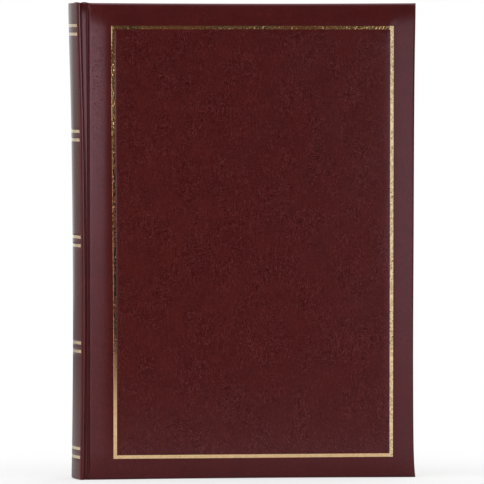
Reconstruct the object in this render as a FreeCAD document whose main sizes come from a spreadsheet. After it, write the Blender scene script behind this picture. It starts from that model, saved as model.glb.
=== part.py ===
import FreeCAD, Part
import math
import os
import Sketcher

# Driving sizes in millimetres (or plain counts), each with what it measures
SIZES = (
    ("cover_height", 305, "height of both covers and of the spine"),
    ("overall_width", 220.8, "crown of the spine to the fore edge"),
    ("leaf_count", 16, "card leaves in the block, an even number"),
    ("leaf_pitch", 1.75, "one leaf with its guard, measured through the block"),
    ("skin", 0.5, "leatherette thickness"),
    ("pad_crown", 2.6, "foam padding under the middle of a cover"),
    ("pad_edge", 0.6, "foam padding at the edges of a cover"),
    ("board", 2.0, "cover board thickness"),
    ("fore_wrap", 2.5, "fore edge of the cover to its board, filled by the wrapped padding"),
    ("turn_in", 15, "leatherette folded over the inside of a board"),
    ("edge_round", 0.9, "rounding of the outer edges of the covers and the spine"),
    ("paper", 0.3, "pastedown thickness"),
    ("paper_inset", 3, "edge of the board to the edge of the pastedown"),
    ("endpaper", 0.4, "endpaper hinge thickness"),
    ("endpaper_lap", 10, "endpaper hinge lying on the pastedown"),
    ("crown_lead", 1, "start of the fall toward the edges inside the stamped frame"),
    ("frame_margin", 13.9, "head and tail of the cover to the stamped frame"),
    ("frame_side", 15.1, "spine and fore edges of the cover to the stamped frame"),
    ("frame_line", 2.2, "width of the stamped frame line"),
    ("emboss", 0.25, "depth of the stamped frame line"),
    ("foil", 0.06, "gold foil thickness"),
    ("spine_radius", 80, "radius of the rounded spine"),
    ("spine_inset", 0.9, "spine edge behind the face of the cover"),
    ("spine_card", 1.2, "spine stiffener thickness"),
    ("spine_lip", 2, "edge of the spine to its head and tail turn-in"),
    ("joint_skin", 0.6, "leatherette thickness in the joints"),
    ("joint_start", 0.2, "spine edge to the wide pressed groove"),
    ("groove_wide", 2.0, "width of the pressed groove beside the spine"),
    ("ridge_width", 0.6, "width of the ridge between the two grooves"),
    ("ridge_drop", 1.1, "foot of the ridge behind the spine edge"),
    ("groove_narrow", 1.3, "width of the pressed groove beside the cover"),
    ("joint_end", 0.5, "narrow pressed groove to the cover edge"),
    ("joint_drop", 2.6, "joint edge behind the face of the cover"),
    ("hollow", 0.8, "spine edge to the back of the guards"),
    ("guard_width", 10, "width of the guards"),
    ("hinge_gap", 2, "bare linen between a guard and its leaf"),
    ("card", 0.5, "thickness of a leaf and of its guard stub"),
    ("head_square", 4, "cover beyond the leaves at head and tail"),
    ("fore_square", 4.5, "cover beyond the leaves at the fore edge"),
    ("corner_round", 3, "rounded fore edge corners of the leaves"),
    ("linen", 0.15, "linen hinge thickness"),
    ("linen_lap", 8, "linen glued to a guard and to a leaf"),
    ("mull", 0.3, "linen glued over the back of the guards"),
    ("bead", 2.4, "diameter of the headband bead"),
    ("tongue", 0.4, "headband tongue thickness"),
    ("tongue_length", 10, "headband tongue glued to the guards"),
    ("film", 0.08, "clear strip thickness"),
    ("strip_rows", 9, "clear strips on one page"),
    ("strip_height", 23, "height of a clear strip"),
    ("strip_margin", 9, "end of the leaf to the outermost strip"),
    ("strip_inset", 3, "fore edge of the leaf to the strips"),
    ("strip_start", 2, "linen to the strips"),
    ("glassine", 0.06, "interleaf thickness"),
    ("glassine_start", 3, "back edge of the leaf to the interleaf"),
    ("glassine_inset", 1, "other edges of the leaf to the interleaf"),
    ("band_pairs", 5, "double gold lines across the spine"),
    ("band_line", 1.9, "width of a gold line across the spine"),
    ("band_gap", 5.5, "middle to middle of the two lines of a pair"),
    ("band_end", 17.2, "end of the spine to the middle of the first pair"),
    ("band_side", 1.2, "edge of the spine to the ends of the gold lines"),
    ("spare", 1, "overrun of cutting shapes past the material"),
)


class Size:
    """A length that keeps its number together with the sheet formula it follows."""

    def __init__(self, number, formula):
        self.number = number
        self.formula = formula

    @staticmethod
    def of(other):
        """Take a plain number as a size."""
        return other if isinstance(other, Size) else Size(float(other), str(other))

    def __add__(self, other):
        other = Size.of(other)
        return Size(self.number + other.number, f"({self.formula} + {other.formula})")

    def __sub__(self, other):
        other = Size.of(other)
        return Size(self.number - other.number, f"({self.formula} - {other.formula})")

    def __mul__(self, other):
        other = Size.of(other)
        return Size(self.number * other.number, f"({self.formula} * {other.formula})")

    def __truediv__(self, other):
        other = Size.of(other)
        return Size(self.number / other.number, f"({self.formula} / {other.formula})")

    def __neg__(self):
        return Size(-self.number, f"(-1 * {self.formula})")

    def root(self):
        """Square root of the size."""
        return Size(math.sqrt(self.number), f"sqrt({self.formula})")


doc = FreeCAD.newDocument("stamp_album")
sheet = doc.addObject("Spreadsheet::Sheet", "sizes")
for row, (alias, number, meaning) in enumerate(SIZES, start=1):
    sheet.set(f"A{row}", meaning)
    sheet.set(f"B{row}", str(number))
    sheet.setAlias(f"B{row}", alias)
doc.recompute()

S = {alias: Size(float(number), f"sizes.{alias}") for alias, number, meaning in SIZES}
ZERO = Size(0.0, "0")
LEAVES = int(S["leaf_count"].number)
FRONT = -1
BACK = 1

# Layers of a cover, as distances outward from the middle of the block
BLOCK = S["leaf_count"] * S["leaf_pitch"]
IN_FACE = BLOCK / 2 + S["endpaper"]
TURN_FACE = IN_FACE + S["paper"]
BOARD_IN = TURN_FACE + S["skin"]
BOARD_OUT = BOARD_IN + S["board"]
PAD_OUT = BOARD_OUT + S["pad_crown"]
PAD_EDGE = BOARD_OUT + S["pad_edge"]
SKIN_OUT = PAD_OUT + S["skin"]
SKIN_EDGE = PAD_EDGE + S["skin"]

# The rounded spine
SPINE_HALF = SKIN_OUT - S["spine_inset"]
SPINE_CENTRE = S["spine_radius"] + S["foil"] - S["overall_width"] / 2
CARD_OUTSIDE = S["spine_radius"] - S["skin"]
CARD_INSIDE = CARD_OUTSIDE - S["spine_card"]
LIP_INSIDE = CARD_INSIDE - S["skin"]
LIP_HALF = SPINE_HALF - S["spine_lip"]


def spine_x(radius, across):
    """Where a circle about the spine's centre line passes a given distance from the middle."""
    return SPINE_CENTRE - (radius * radius - across * across).root()


# Places along the width of the album
SPINE_EDGE = spine_x(CARD_INSIDE, SPINE_HALF)
WIDE_START = SPINE_EDGE + S["joint_start"]
RIDGE_START = WIDE_START + S["groove_wide"]
NARROW_START = RIDGE_START + S["ridge_width"]
NARROW_END = NARROW_START + S["groove_narrow"]
COVER_BACK = NARROW_END + S["joint_end"]
FORE = S["overall_width"] / 2
BOARD_FORE = FORE - S["fore_wrap"]
GUARD_BACK = SPINE_EDGE + S["hollow"]
GUARD_FRONT = GUARD_BACK + S["guard_width"]
LEAF_BACK = GUARD_FRONT + S["hinge_gap"]
LEAF_FORE = FORE - S["fore_square"]

# Heights
TOP = S["cover_height"]
LEAF_TAIL = S["head_square"]
LEAF_HEAD = TOP - S["head_square"]


def leaf_place(index):
    """Middle plane of a leaf counted from the front cover."""
    return S["leaf_pitch"] * (index - 0.5) - BLOCK / 2


# Sketches and features
def arc_centre(start, end, radius, turn, large):
    """Centre of the circle that joins two points, turning left or right between them."""
    middle = (start + end) * 0.5
    along = end - start
    left = FreeCAD.Vector(-along.y, along.x, 0) / along.Length
    reach = math.sqrt(max(radius * radius - along.Length ** 2 / 4, 0))
    side = 1 if (turn == "left") != large else -1
    return middle + left * (side * reach)


def draw(sketch, corners):
    """Draw one closed outline and bind every corner and radius to the sheet.

    A corner is (x, y), or (x, y, radius, turn) where an arc leads to the next corner;
    a fifth entry True asks for the long way round.
    """
    points = [FreeCAD.Vector(corner[0].number, corner[1].number, 0) for corner in corners]
    pieces = []
    for index, corner in enumerate(corners):
        start = points[index]
        end = points[(index + 1) % len(points)]
        if len(corner) == 2:
            pieces.append((sketch.addGeometry(Part.LineSegment(start, end)), 1, 2))
            continue
        turn = corner[3]
        centre = arc_centre(start, end, corner[2].number, turn, len(corner) == 5)
        first, last = (start, end) if turn == "left" else (end, start)
        angles = [math.atan2(point.y - centre.y, point.x - centre.x) for point in (first, last)]
        circle = Part.Circle(centre, FreeCAD.Vector(0, 0, 1), corner[2].number)
        arc = sketch.addGeometry(Part.ArcOfCircle(circle, angles[0], angles[1]))
        pieces.append((arc, 1, 2) if turn == "left" else (arc, 2, 1))
    for index, piece in enumerate(pieces):
        following = pieces[(index + 1) % len(pieces)]
        link = (piece[0], piece[2], following[0], following[1])
        sketch.addConstraint(Sketcher.Constraint("Coincident", *link))
    for corner, piece in zip(corners, pieces):
        bind(sketch, Sketcher.Constraint("DistanceX", piece[0], piece[1], corner[0].number), corner[0])
        bind(sketch, Sketcher.Constraint("DistanceY", piece[0], piece[1], corner[1].number), corner[1])
        if len(corner) > 2:
            bind(sketch, Sketcher.Constraint("Radius", piece[0], corner[2].number), corner[2])


def bind(sketch, constraint, size):
    """Add a constraint that follows a size in the sheet."""
    index = sketch.addConstraint(constraint)
    sketch.setExpression(f"Constraints[{index}]", size.formula)


def rectangle(left, right, low, high):
    """Corners of an upright rectangle."""
    return [(left, low), (right, low), (right, high), (left, high)]


def flipped_side(corners, side):
    """Outline of the back cover turned into the one for the given side."""
    return corners if side == BACK else flip(corners, lambda x, y: (x, -y))


def flip(corners, place):
    """Mirrored copy of an outline, arcs turning the other way."""
    other = {"left": "right", "right": "left"}
    copies = []
    for corner in corners:
        rest = corner[2:]
        if rest:
            rest = (rest[0], other[rest[1]]) + tuple(rest[2:])
        copies.append(place(corner[0], corner[1]) + tuple(rest))
    return copies


def new_body(label):
    """Empty body for one sub-part, which may hold several loose pieces."""
    body = doc.addObject("PartDesign::Body", label)
    body.Label = label
    body.AllowCompound = True
    return body


def origin_part(body, role):
    """One of the axes or planes at the body's origin."""
    return next(part for part in body.Origin.OriginFeatures if part.Role == role)


def new_sketch(body, plane, offset, outlines):
    """Sketch on one of the body's own origin planes, set off along its normal."""
    sketch = body.newObject("Sketcher::SketchObject", f"{body.Label}_sketch")
    sketch.AttachmentSupport = [(origin_part(body, plane), "")]
    sketch.MapMode = "FlatFace"
    sketch.setExpression("AttachmentOffset.Base.z", offset.formula)
    for corners in outlines:
        draw(sketch, corners)
    doc.recompute()
    return sketch


def pad(body, sketch, length, backward=False, symmetric=False):
    """Solid drawn out from a sketch."""
    feature = body.newObject("PartDesign::Pad", f"{body.Label}_pad")
    feature.Profile = (sketch, [""])
    feature.SideType = "Symmetric" if symmetric else "One side"
    feature.Reversed = backward
    feature.setExpression("Length", length.formula)
    doc.recompute()
    return feature


def pocket(body, sketch, depth=None):
    """Cut of a given depth behind the sketch, or right through to both sides."""
    feature = body.newObject("PartDesign::Pocket", f"{body.Label}_pocket")
    feature.Profile = (sketch, [""])
    if depth is None:
        feature.Type = "ThroughAll"
        feature.SideType = "Symmetric"
    else:
        feature.setExpression("Length", depth.formula)
    doc.recompute()
    return feature


def repeat(body, feature, axis, spacing, count):
    """Row of copies of the body so far."""
    pattern = body.newObject("PartDesign::LinearPattern", f"{body.Label}_row")
    pattern.Originals = [feature]
    pattern.TransformMode = "Whole shape"
    pattern.Direction = (origin_part(body, axis), [""])
    pattern.Mode = "Spacing"
    pattern.setExpression("Offset", spacing.formula)
    pattern.setExpression("Occurrences", count.formula)
    body.Tip = pattern
    doc.recompute()
    return pattern


def plate(body, outlines, near, thickness, side):
    """Flat layer parallel to the covers, growing outward from a distance off the middle."""
    offset = near if side == FRONT else -near
    return pad(body, new_sketch(body, "XZ_Plane", offset, outlines), thickness, backward=side == BACK)


def box(label, corner, extent):
    """Block given by its lowest corner and its three lengths."""
    block = doc.addObject("Part::Box", label)
    block.Label = label
    for name, size in zip(("Length", "Width", "Height"), extent):
        block.setExpression(name, size.formula)
    for name, size in zip("xyz", corner):
        block.setExpression(f"Placement.Base.{name}", size.formula)
    doc.recompute()
    return block


def wrap(label, envelope, cores):
    """Thin covering: an envelope hollowed by everything that lies inside it."""
    core = doc.addObject("Part::MultiFuse", f"{label}_core")
    core.Shapes = cores
    covering = doc.addObject("Part::Cut", label)
    covering.Label = label
    covering.Base = envelope
    covering.Tool = core
    doc.recompute()
    return covering


# Covers: crowned padding over a board, wrapped in leatherette, papered inside
CROWN_RUN = S["frame_margin"] + S["frame_line"] + S["crown_lead"]
CROWN_DROP = S["pad_crown"] - S["pad_edge"]


def crown_radius(run):
    """Radius of the arc that leaves the flat panel level and drops by the crown over a run."""
    return (run * run + CROWN_DROP * CROWN_DROP) / (CROWN_DROP * 2)


def crown_body(label, side, floor, edge, outside, inset, rounding=None):
    """Flat slab on a given floor line whose outer face falls away toward all four edges."""
    left = COVER_BACK + inset
    right = FORE - inset
    start = inset if rounding is None else inset + rounding
    radius = crown_radius(CROWN_RUN - start)
    profile = list(floor)
    if rounding is not None:
        profile.append((right, edge - rounding, rounding, "left"))
    profile.append((FORE - start, edge, radius, "left"))
    profile.append((FORE - CROWN_RUN, outside))
    profile.append((COVER_BACK + CROWN_RUN, outside, radius, "left"))
    if rounding is not None:
        profile.append((COVER_BACK + start, edge, rounding, "left"))
        profile.append((left, edge - rounding))
    else:
        profile.append((left, edge))
    tail = [(outside + S["spare"], inset - S["spare"]), (outside + S["spare"], CROWN_RUN)]
    tail.append((outside, CROWN_RUN, radius, "right"))
    low = edge
    if rounding is not None:
        tail.append((edge, start, rounding, "right"))
        low = edge - rounding
    tail.append((low, inset))
    tail.append((low, inset - S["spare"]))
    head = flip(tail, lambda across, height: (across, TOP - height))
    body = new_body(label)
    section = new_sketch(body, "XY_Plane", inset, [flipped_side(profile, side)])
    pad(body, section, TOP - inset * 2)
    ends = [tail, head]
    if side == FRONT:
        ends = [flip(outline, lambda across, height: (-across, height)) for outline in ends]
    pocket(body, new_sketch(body, "YZ_Plane", ZERO, ends))
    return body


def stamped_line():
    """The two outlines of the stamped frame on a cover."""
    margin = S["frame_margin"]
    side = S["frame_side"]
    inner = margin + S["frame_line"]
    inner_side = side + S["frame_line"]
    return [
        rectangle(COVER_BACK + side, FORE - side, margin, TOP - margin),
        rectangle(COVER_BACK + inner_side, FORE - inner_side, inner, TOP - inner),
    ]


def cover(name, side, stamped):
    """One padded cover as its separate layers."""
    nodes = []
    skin = S["skin"]
    left = COVER_BACK + skin
    board = new_body(f"{name}_board")
    plate(board, [rectangle(left, BOARD_FORE, skin, TOP - skin)], BOARD_IN, S["board"], side)
    wrapped = [(left, BOARD_OUT), (BOARD_FORE, BOARD_OUT), (BOARD_FORE, BOARD_IN), (FORE - skin, BOARD_IN)]
    padding = crown_body(f"{name}_padding", side, wrapped, PAD_EDGE, PAD_OUT, skin)
    level = [(COVER_BACK, TURN_FACE), (FORE, TURN_FACE)]
    envelope = crown_body(f"{name}_envelope", side, level, SKIN_EDGE, SKIN_OUT, ZERO, S["edge_round"])
    if stamped:
        channel = new_sketch(envelope, "XZ_Plane", SKIN_OUT, stamped_line())
        pocket(envelope, channel, S["emboss"])
        foil = new_body(f"{name}_gold_frame")
        plate(foil, stamped_line(), SKIN_OUT - S["emboss"], S["foil"], side)
        nodes.append(foil)
    right = FORE - S["turn_in"]
    low = S["turn_in"]
    high = TOP - S["turn_in"]
    reach = skin + S["spare"]
    lowest = -BOARD_IN if side == FRONT else TURN_FACE - S["spare"]
    window = box(f"{name}_window", (left, lowest, low), (right - left, reach, high - low))
    leatherette = wrap(f"{name}_leatherette", envelope, [board, padding, window])
    inset = S["paper_inset"]
    pastedown = new_body(f"{name}_pastedown")
    plate(pastedown, [rectangle(left, right, low, high)], TURN_FACE, skin, side)
    plate(pastedown, [rectangle(COVER_BACK, FORE - inset, inset, TOP - inset)], IN_FACE, S["paper"], side)
    return nodes + [board, padding, leatherette, pastedown]


# Spine: rounded stiffener wrapped in leatherette, double gold lines across it
def spine_section(outside, inside, half):
    """Band between two circles about the spine's centre line."""
    return [
        (spine_x(outside, half), -half, outside, "right"),
        (spine_x(outside, half), half),
        (spine_x(inside, half), half, inside, "left"),
        (spine_x(inside, half), -half),
    ]


def spine():
    """The hollow-backed spine as its separate layers."""
    skin = S["skin"]
    stiffener = new_body("spine_board")
    section = spine_section(CARD_OUTSIDE, CARD_INSIDE, SPINE_HALF - skin)
    pad(stiffener, new_sketch(stiffener, "XY_Plane", skin, [section]), TOP - skin * 2)
    radius = S["spine_radius"]
    edge = spine_x(radius, SPINE_HALF)
    corner = spine_x(CARD_INSIDE, LIP_HALF)
    lip = spine_x(LIP_INSIDE, LIP_HALF)
    outline = [
        (edge, -SPINE_HALF, radius, "right"),
        (edge, SPINE_HALF),
        (SPINE_EDGE, SPINE_HALF, CARD_INSIDE, "left"),
        (corner, LIP_HALF),
        (lip, LIP_HALF, LIP_INSIDE, "left"),
        (lip, -LIP_HALF),
        (corner, -LIP_HALF, CARD_INSIDE, "left"),
        (SPINE_EDGE, -SPINE_HALF),
    ]
    envelope = new_body("spine_envelope")
    solid = pad(envelope, new_sketch(envelope, "XY_Plane", ZERO, [outline]), TOP)
    rounded = envelope.newObject("PartDesign::Fillet", "spine_rounding")
    rounded.Base = (solid, outer_corners(solid.Shape, edge.number))
    rounded.setExpression("Radius", S["edge_round"].formula)
    opening = [
        (corner, -LIP_HALF, CARD_INSIDE, "right"),
        (corner, LIP_HALF),
        (SPINE_EDGE + S["spare"], LIP_HALF),
        (SPINE_EDGE + S["spare"], -LIP_HALF),
    ]
    window = new_body("spine_window")
    pad(window, new_sketch(window, "XY_Plane", S["turn_in"], [opening]), TOP - S["turn_in"] * 2)
    leatherette = wrap("spine_leatherette", envelope, [stiffener, window])
    bands = new_body("spine_gold_bands")
    section = spine_section(radius + S["foil"], radius, SPINE_HALF - S["band_side"])
    first = S["band_end"] - S["band_gap"] / 2 - S["band_line"] / 2
    line = pad(bands, new_sketch(bands, "XY_Plane", first, [section]), S["band_line"])
    pair = repeat(bands, line, "Z_Axis", S["band_gap"], Size.of(2))
    spread = (TOP - S["band_end"] * 2) / (S["band_pairs"] - 1)
    repeat(bands, pair, "Z_Axis", spread, S["band_pairs"])
    return [stiffener, leatherette, bands]


def outer_corners(shape, edge_x):
    """Names of the two upright edges at the outer corners of the spine."""
    names = []
    for index, line in enumerate(shape.Edges, start=1):
        ends = [vertex.Point for vertex in line.Vertexes]
        upright = len(ends) == 2 and abs(ends[0].z - ends[1].z) > 1
        if upright and abs(ends[0].x - edge_x) < 1e-4 and abs(ends[1].x - edge_x) < 1e-4:
            names.append(f"Edge{index}")
    return names


# Joints: the flexible leatherette between spine and cover, pressed into two grooves
def joint(label, side):
    """Strip that starts level with the spine's edge and ends on the cover's edge.

    Two grooves with a thin ridge between them are pressed into its outside; its underside is one curve.
    """
    thick = S["joint_skin"]
    near = SPINE_HALF
    ridge = SPINE_HALF - S["ridge_drop"]
    far = SKIN_OUT - S["joint_drop"]
    profile = [
        (SPINE_EDGE, near),
        (WIDE_START, near, S["groove_wide"] * 0.625, "left"),
        (RIDGE_START, ridge, S["ridge_width"] * 0.67, "right"),
        (NARROW_START, ridge, S["groove_narrow"] * 0.62, "left"),
        (NARROW_END, far),
        (COVER_BACK, far),
        (COVER_BACK, far - thick),
        (NARROW_END, far - thick, (NARROW_END - WIDE_START) * 0.75, "right"),
        (WIDE_START, near - thick),
        (SPINE_EDGE, near - thick),
    ]
    body = new_body(label)
    pad(body, new_sketch(body, "XY_Plane", ZERO, [flipped_side(profile, side)]), TOP)
    return body


# Block: guard stubs and spacers glued into a pack, linen hinges, endpapers
def guards():
    """The pack of guards at the back of the block and all that is glued to it."""
    outline = [rectangle(GUARD_BACK, GUARD_FRONT, LEAF_TAIL, LEAF_HEAD)]
    stubs = new_body("guard_stubs")
    first = pad(stubs, new_sketch(stubs, "XZ_Plane", -leaf_place(1), outline), S["card"], symmetric=True)
    repeat(stubs, first, "Y_Axis", S["leaf_pitch"], S["leaf_count"])
    between = S["leaf_pitch"] - S["card"] - S["linen"] * 2
    spacers = new_body("guard_spacers")
    first = pad(spacers, new_sketch(spacers, "XZ_Plane", -leaf_place(1.5), outline), between, symmetric=True)
    repeat(spacers, first, "Y_Axis", S["leaf_pitch"], S["leaf_count"] - 1)
    for side in (FRONT, BACK):
        plate(spacers, outline, BLOCK / 2 - between / 2, between / 2, side)
    cloth = new_body("linen_hinges")
    strip = [rectangle(GUARD_FRONT - S["linen_lap"], LEAF_BACK + S["linen_lap"], LEAF_TAIL, LEAF_HEAD)]
    faces = (leaf_place(1) - S["card"] / 2, leaf_place(1) + S["card"] / 2)
    pad(cloth, new_sketch(cloth, "XZ_Plane", -faces[0], strip), S["linen"])
    second = pad(cloth, new_sketch(cloth, "XZ_Plane", -faces[1], strip), S["linen"], backward=True)
    repeat(cloth, second, "Y_Axis", S["leaf_pitch"], S["leaf_count"])
    low = LEAF_TAIL + S["tongue_length"]
    high = LEAF_HEAD - S["tongue_length"]
    mull = box("spine_linen", (GUARD_BACK - S["mull"], -BLOCK / 2, low), (S["mull"], BLOCK, high - low))
    hinges = new_body("endpaper_hinges")
    sheet_outline = [rectangle(GUARD_BACK, COVER_BACK + S["endpaper_lap"], LEAF_TAIL, LEAF_HEAD)]
    for side in (FRONT, BACK):
        plate(hinges, sheet_outline, BLOCK / 2, S["endpaper"], side)
    return [stubs, spacers, cloth, mull, hinges, headbands()]


def headbands():
    """Corded band over each end of the guards, with a tongue glued down their back."""
    back = GUARD_BACK - S["tongue"]
    radius = S["bead"] / 2
    head = [
        (back, LEAF_HEAD - S["tongue_length"]),
        (back, LEAF_HEAD + radius, radius, "right", True),
        (back + radius, LEAF_HEAD),
        (GUARD_BACK, LEAF_HEAD),
        (GUARD_BACK, LEAF_HEAD - S["tongue_length"]),
    ]
    tail = flip(head, lambda x, height: (x, TOP - height))
    body = new_body("headbands")
    pad(body, new_sketch(body, "XZ_Plane", ZERO, [head, tail]), BLOCK, symmetric=True)
    return body


# Leaves: card pages with rows of clear strips, glassine interleaves on every second leaf
def leaf_outline():
    """Card page with rounded corners at the fore edge."""
    radius = S["corner_round"]
    return [
        (LEAF_BACK, LEAF_TAIL),
        (LEAF_FORE - radius, LEAF_TAIL, radius, "left"),
        (LEAF_FORE, LEAF_TAIL + radius),
        (LEAF_FORE, LEAF_HEAD - radius, radius, "left"),
        (LEAF_FORE - radius, LEAF_HEAD),
        (LEAF_BACK, LEAF_HEAD),
    ]


def both_faces(body, outline, near, thickness):
    """The same thin layer on the two faces of a leaf."""
    plate(body, [outline], near, thickness, FRONT)
    return plate(body, [outline], near, thickness, BACK)


def leaf(index):
    """One leaf with all that turns with it."""
    label = f"leaf_{index:02d}"
    card = new_body(label)
    pad(card, new_sketch(card, "XZ_Plane", ZERO, [leaf_outline()]), S["card"], symmetric=True)
    strips = new_body(f"{label}_strips")
    left = LEAF_BACK + S["linen_lap"] + S["strip_start"]
    right = LEAF_FORE - S["strip_inset"]
    low = LEAF_TAIL + S["strip_margin"]
    lowest = rectangle(left, right, low, low + S["strip_height"])
    pair = both_faces(strips, lowest, S["card"] / 2, S["film"])
    run = LEAF_HEAD - LEAF_TAIL - S["strip_margin"] * 2 - S["strip_height"]
    repeat(strips, pair, "Z_Axis", run / (S["strip_rows"] - 1), S["strip_rows"])
    nodes = [card, strips]
    if index % 2 == 0:
        inset = S["glassine_inset"]
        interleaves = new_body(f"{label}_interleaves")
        left = LEAF_BACK + S["glassine_start"]
        sheet_outline = rectangle(left, LEAF_FORE - inset, LEAF_TAIL + inset, LEAF_HEAD - inset)
        both_faces(interleaves, sheet_outline, S["card"] / 2 + S["linen"], S["glassine"])
        nodes.append(interleaves)
    for node in nodes:
        node.setExpression("Placement.Base.y", leaf_place(index).formula)
    doc.recompute()
    return nodes


# Whole album
nodes = cover("front", FRONT, stamped=True)
nodes += cover("back", BACK, stamped=False)
nodes += spine()
nodes += [joint("front_joint", FRONT), joint("back_joint", BACK)]
nodes += guards()
for number in range(1, LEAVES + 1):
    nodes += leaf(number)
doc.recompute()

for item in doc.Objects:
    if "Invalid" in item.State or "Error" in item.State:
        raise RuntimeError(f"{item.Label} did not compute")
os.makedirs("parts", exist_ok=True)
for node in nodes:
    if node.Shape.isNull() or not node.Shape.isValid() or not node.Shape.Solids:
        raise RuntimeError(f"{node.Label} has no sound shape")
    node.Shape.exportStep(f"parts/{node.Label}.step")
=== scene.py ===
"""Looks of a padded stamp album, built round its packed construction.

Sizes are in millimetres, in the album's own frame: x runs from the spine to the fore edge, y from the
front cover to the back cover, and z up along the spine. Meshes are written in metres.
"""
import logging
import math
from abc import ABC, abstractmethod
from dataclasses import dataclass
from enum import Enum
from typing import Any

import bmesh
import bpy
import numpy as np
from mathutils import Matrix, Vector


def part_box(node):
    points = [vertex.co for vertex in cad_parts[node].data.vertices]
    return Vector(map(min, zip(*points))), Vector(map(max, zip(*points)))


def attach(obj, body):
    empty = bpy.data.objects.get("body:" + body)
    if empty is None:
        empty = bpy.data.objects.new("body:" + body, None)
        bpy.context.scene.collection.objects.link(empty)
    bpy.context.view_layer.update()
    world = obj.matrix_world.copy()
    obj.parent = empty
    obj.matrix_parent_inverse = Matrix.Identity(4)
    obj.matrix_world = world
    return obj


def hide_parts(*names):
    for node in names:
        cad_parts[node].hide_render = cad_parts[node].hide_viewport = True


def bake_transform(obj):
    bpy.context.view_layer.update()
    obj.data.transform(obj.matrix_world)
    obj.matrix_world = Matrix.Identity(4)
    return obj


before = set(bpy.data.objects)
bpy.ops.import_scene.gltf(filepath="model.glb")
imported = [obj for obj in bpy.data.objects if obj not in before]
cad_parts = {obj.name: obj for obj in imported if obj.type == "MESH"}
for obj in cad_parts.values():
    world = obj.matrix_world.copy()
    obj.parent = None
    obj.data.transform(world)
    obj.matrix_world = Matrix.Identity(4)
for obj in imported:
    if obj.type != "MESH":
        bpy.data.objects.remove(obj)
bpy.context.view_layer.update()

LOG = logging.getLogger("album")
MM = 0.001
MERGE = 2e-6
CREASE = 38.0
FOIL_CREASE = 30.0
LEAVES = 16

Colour = tuple[float, float, float, float]
Span = tuple[float, float]

WHITE: Colour = (1.0, 1.0, 1.0, 1.0)


class Side(Enum):
    """The two covers, by the way their outer faces look along y."""

    FRONT = -1
    BACK = 1

    @property
    def body(self) -> str:
        """Name of the body that the cover belongs to."""
        return self.node("cover")

    def node(self, part: str) -> str:
        """Name of a part of this cover."""
        return f"{self.name.lower()}_{part}"


@dataclass(frozen=True)
class Box:
    """Lowest and highest corner of a construction part, in millimetres."""

    low: np.ndarray
    high: np.ndarray

    @classmethod
    def of(cls, node: str) -> "Box":
        """Reads the box of a construction part."""
        low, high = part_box(node)
        return cls(np.array(low) / MM, np.array(high) / MM)

    @property
    def middle(self) -> np.ndarray:
        """Point halfway between the two corners."""
        return (self.low + self.high) / 2

    def flat(self, axis: int) -> Span:
        """Size in metres along an axis, and along z."""
        return tuple((self.high[k] - self.low[k]) * MM for k in (axis, 2))


def leaf_name(number: int) -> str:
    """Name of a leaf, counted from the front."""
    return f"leaf_{number:02d}"


def points_of(x: Any, y: Any, z: Any) -> np.ndarray:
    """Points from arrays of x, y and z, which are spread to one shape."""
    return np.stack(np.broadcast_arrays(x, y, z), axis=-1)


def rise(value: np.ndarray, low: float, high: float) -> np.ndarray:
    """Smooth step: 3 t squared less 2 t cubed, with t going from 0 at low to 1 at high."""
    share = np.clip((value - low) / (high - low), 0.0, 1.0)
    return share * share * (3.0 - 2.0 * share)


def round_drop(distance: np.ndarray, radius: float) -> np.ndarray:
    """Drop of a quarter circle: r less the root of r squared less the square of (r - distance)."""
    share = 1.0 - np.clip(distance / radius, 0.0, 1.0)
    return radius * (1.0 - np.sqrt(1.0 - share * share))


def smooth_curve(knots: tuple[Span, ...], places: np.ndarray) -> np.ndarray:
    """Cubic Hermite curve through knots, with slopes from each knot's neighbours.

    Args:
        knots: Pairs of place and height, in rising order of place.
        places: Places where the curve is read.

    Returns:
        Heights at the places.
    """
    at, height = np.array(knots).T
    slope = np.gradient(height, at)
    index = np.clip(np.searchsorted(at, places) - 1, 0, len(at) - 2)
    span = at[index + 1] - at[index]
    t = (places - at[index]) / span
    start = (1.0 + 2.0 * t) * (1.0 - t) ** 2 * height[index] + t * (1.0 - t) ** 2 * span * slope[index]
    end = t * t * (3.0 - 2.0 * t) * height[index + 1] + t * t * (t - 1.0) * span * slope[index + 1]
    return start + end


def spread(low: float, high: float, count: int, ends: float = 0.7) -> np.ndarray:
    """Places from low to high that lie closer together towards both ends.

    The share of the way is a mix of t and (1 - cos(pi t)) / 2.

    Args:
        low: First place.
        high: Last place.
        count: Number of places.
        ends: Weight of the cosine, 0 for even steps.

    Returns:
        Array of places.
    """
    t = np.linspace(0.0, 1.0, count)
    share = (1.0 - ends) * t + ends * (1.0 - np.cos(np.pi * t)) / 2.0
    return low + (high - low) * share


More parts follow.
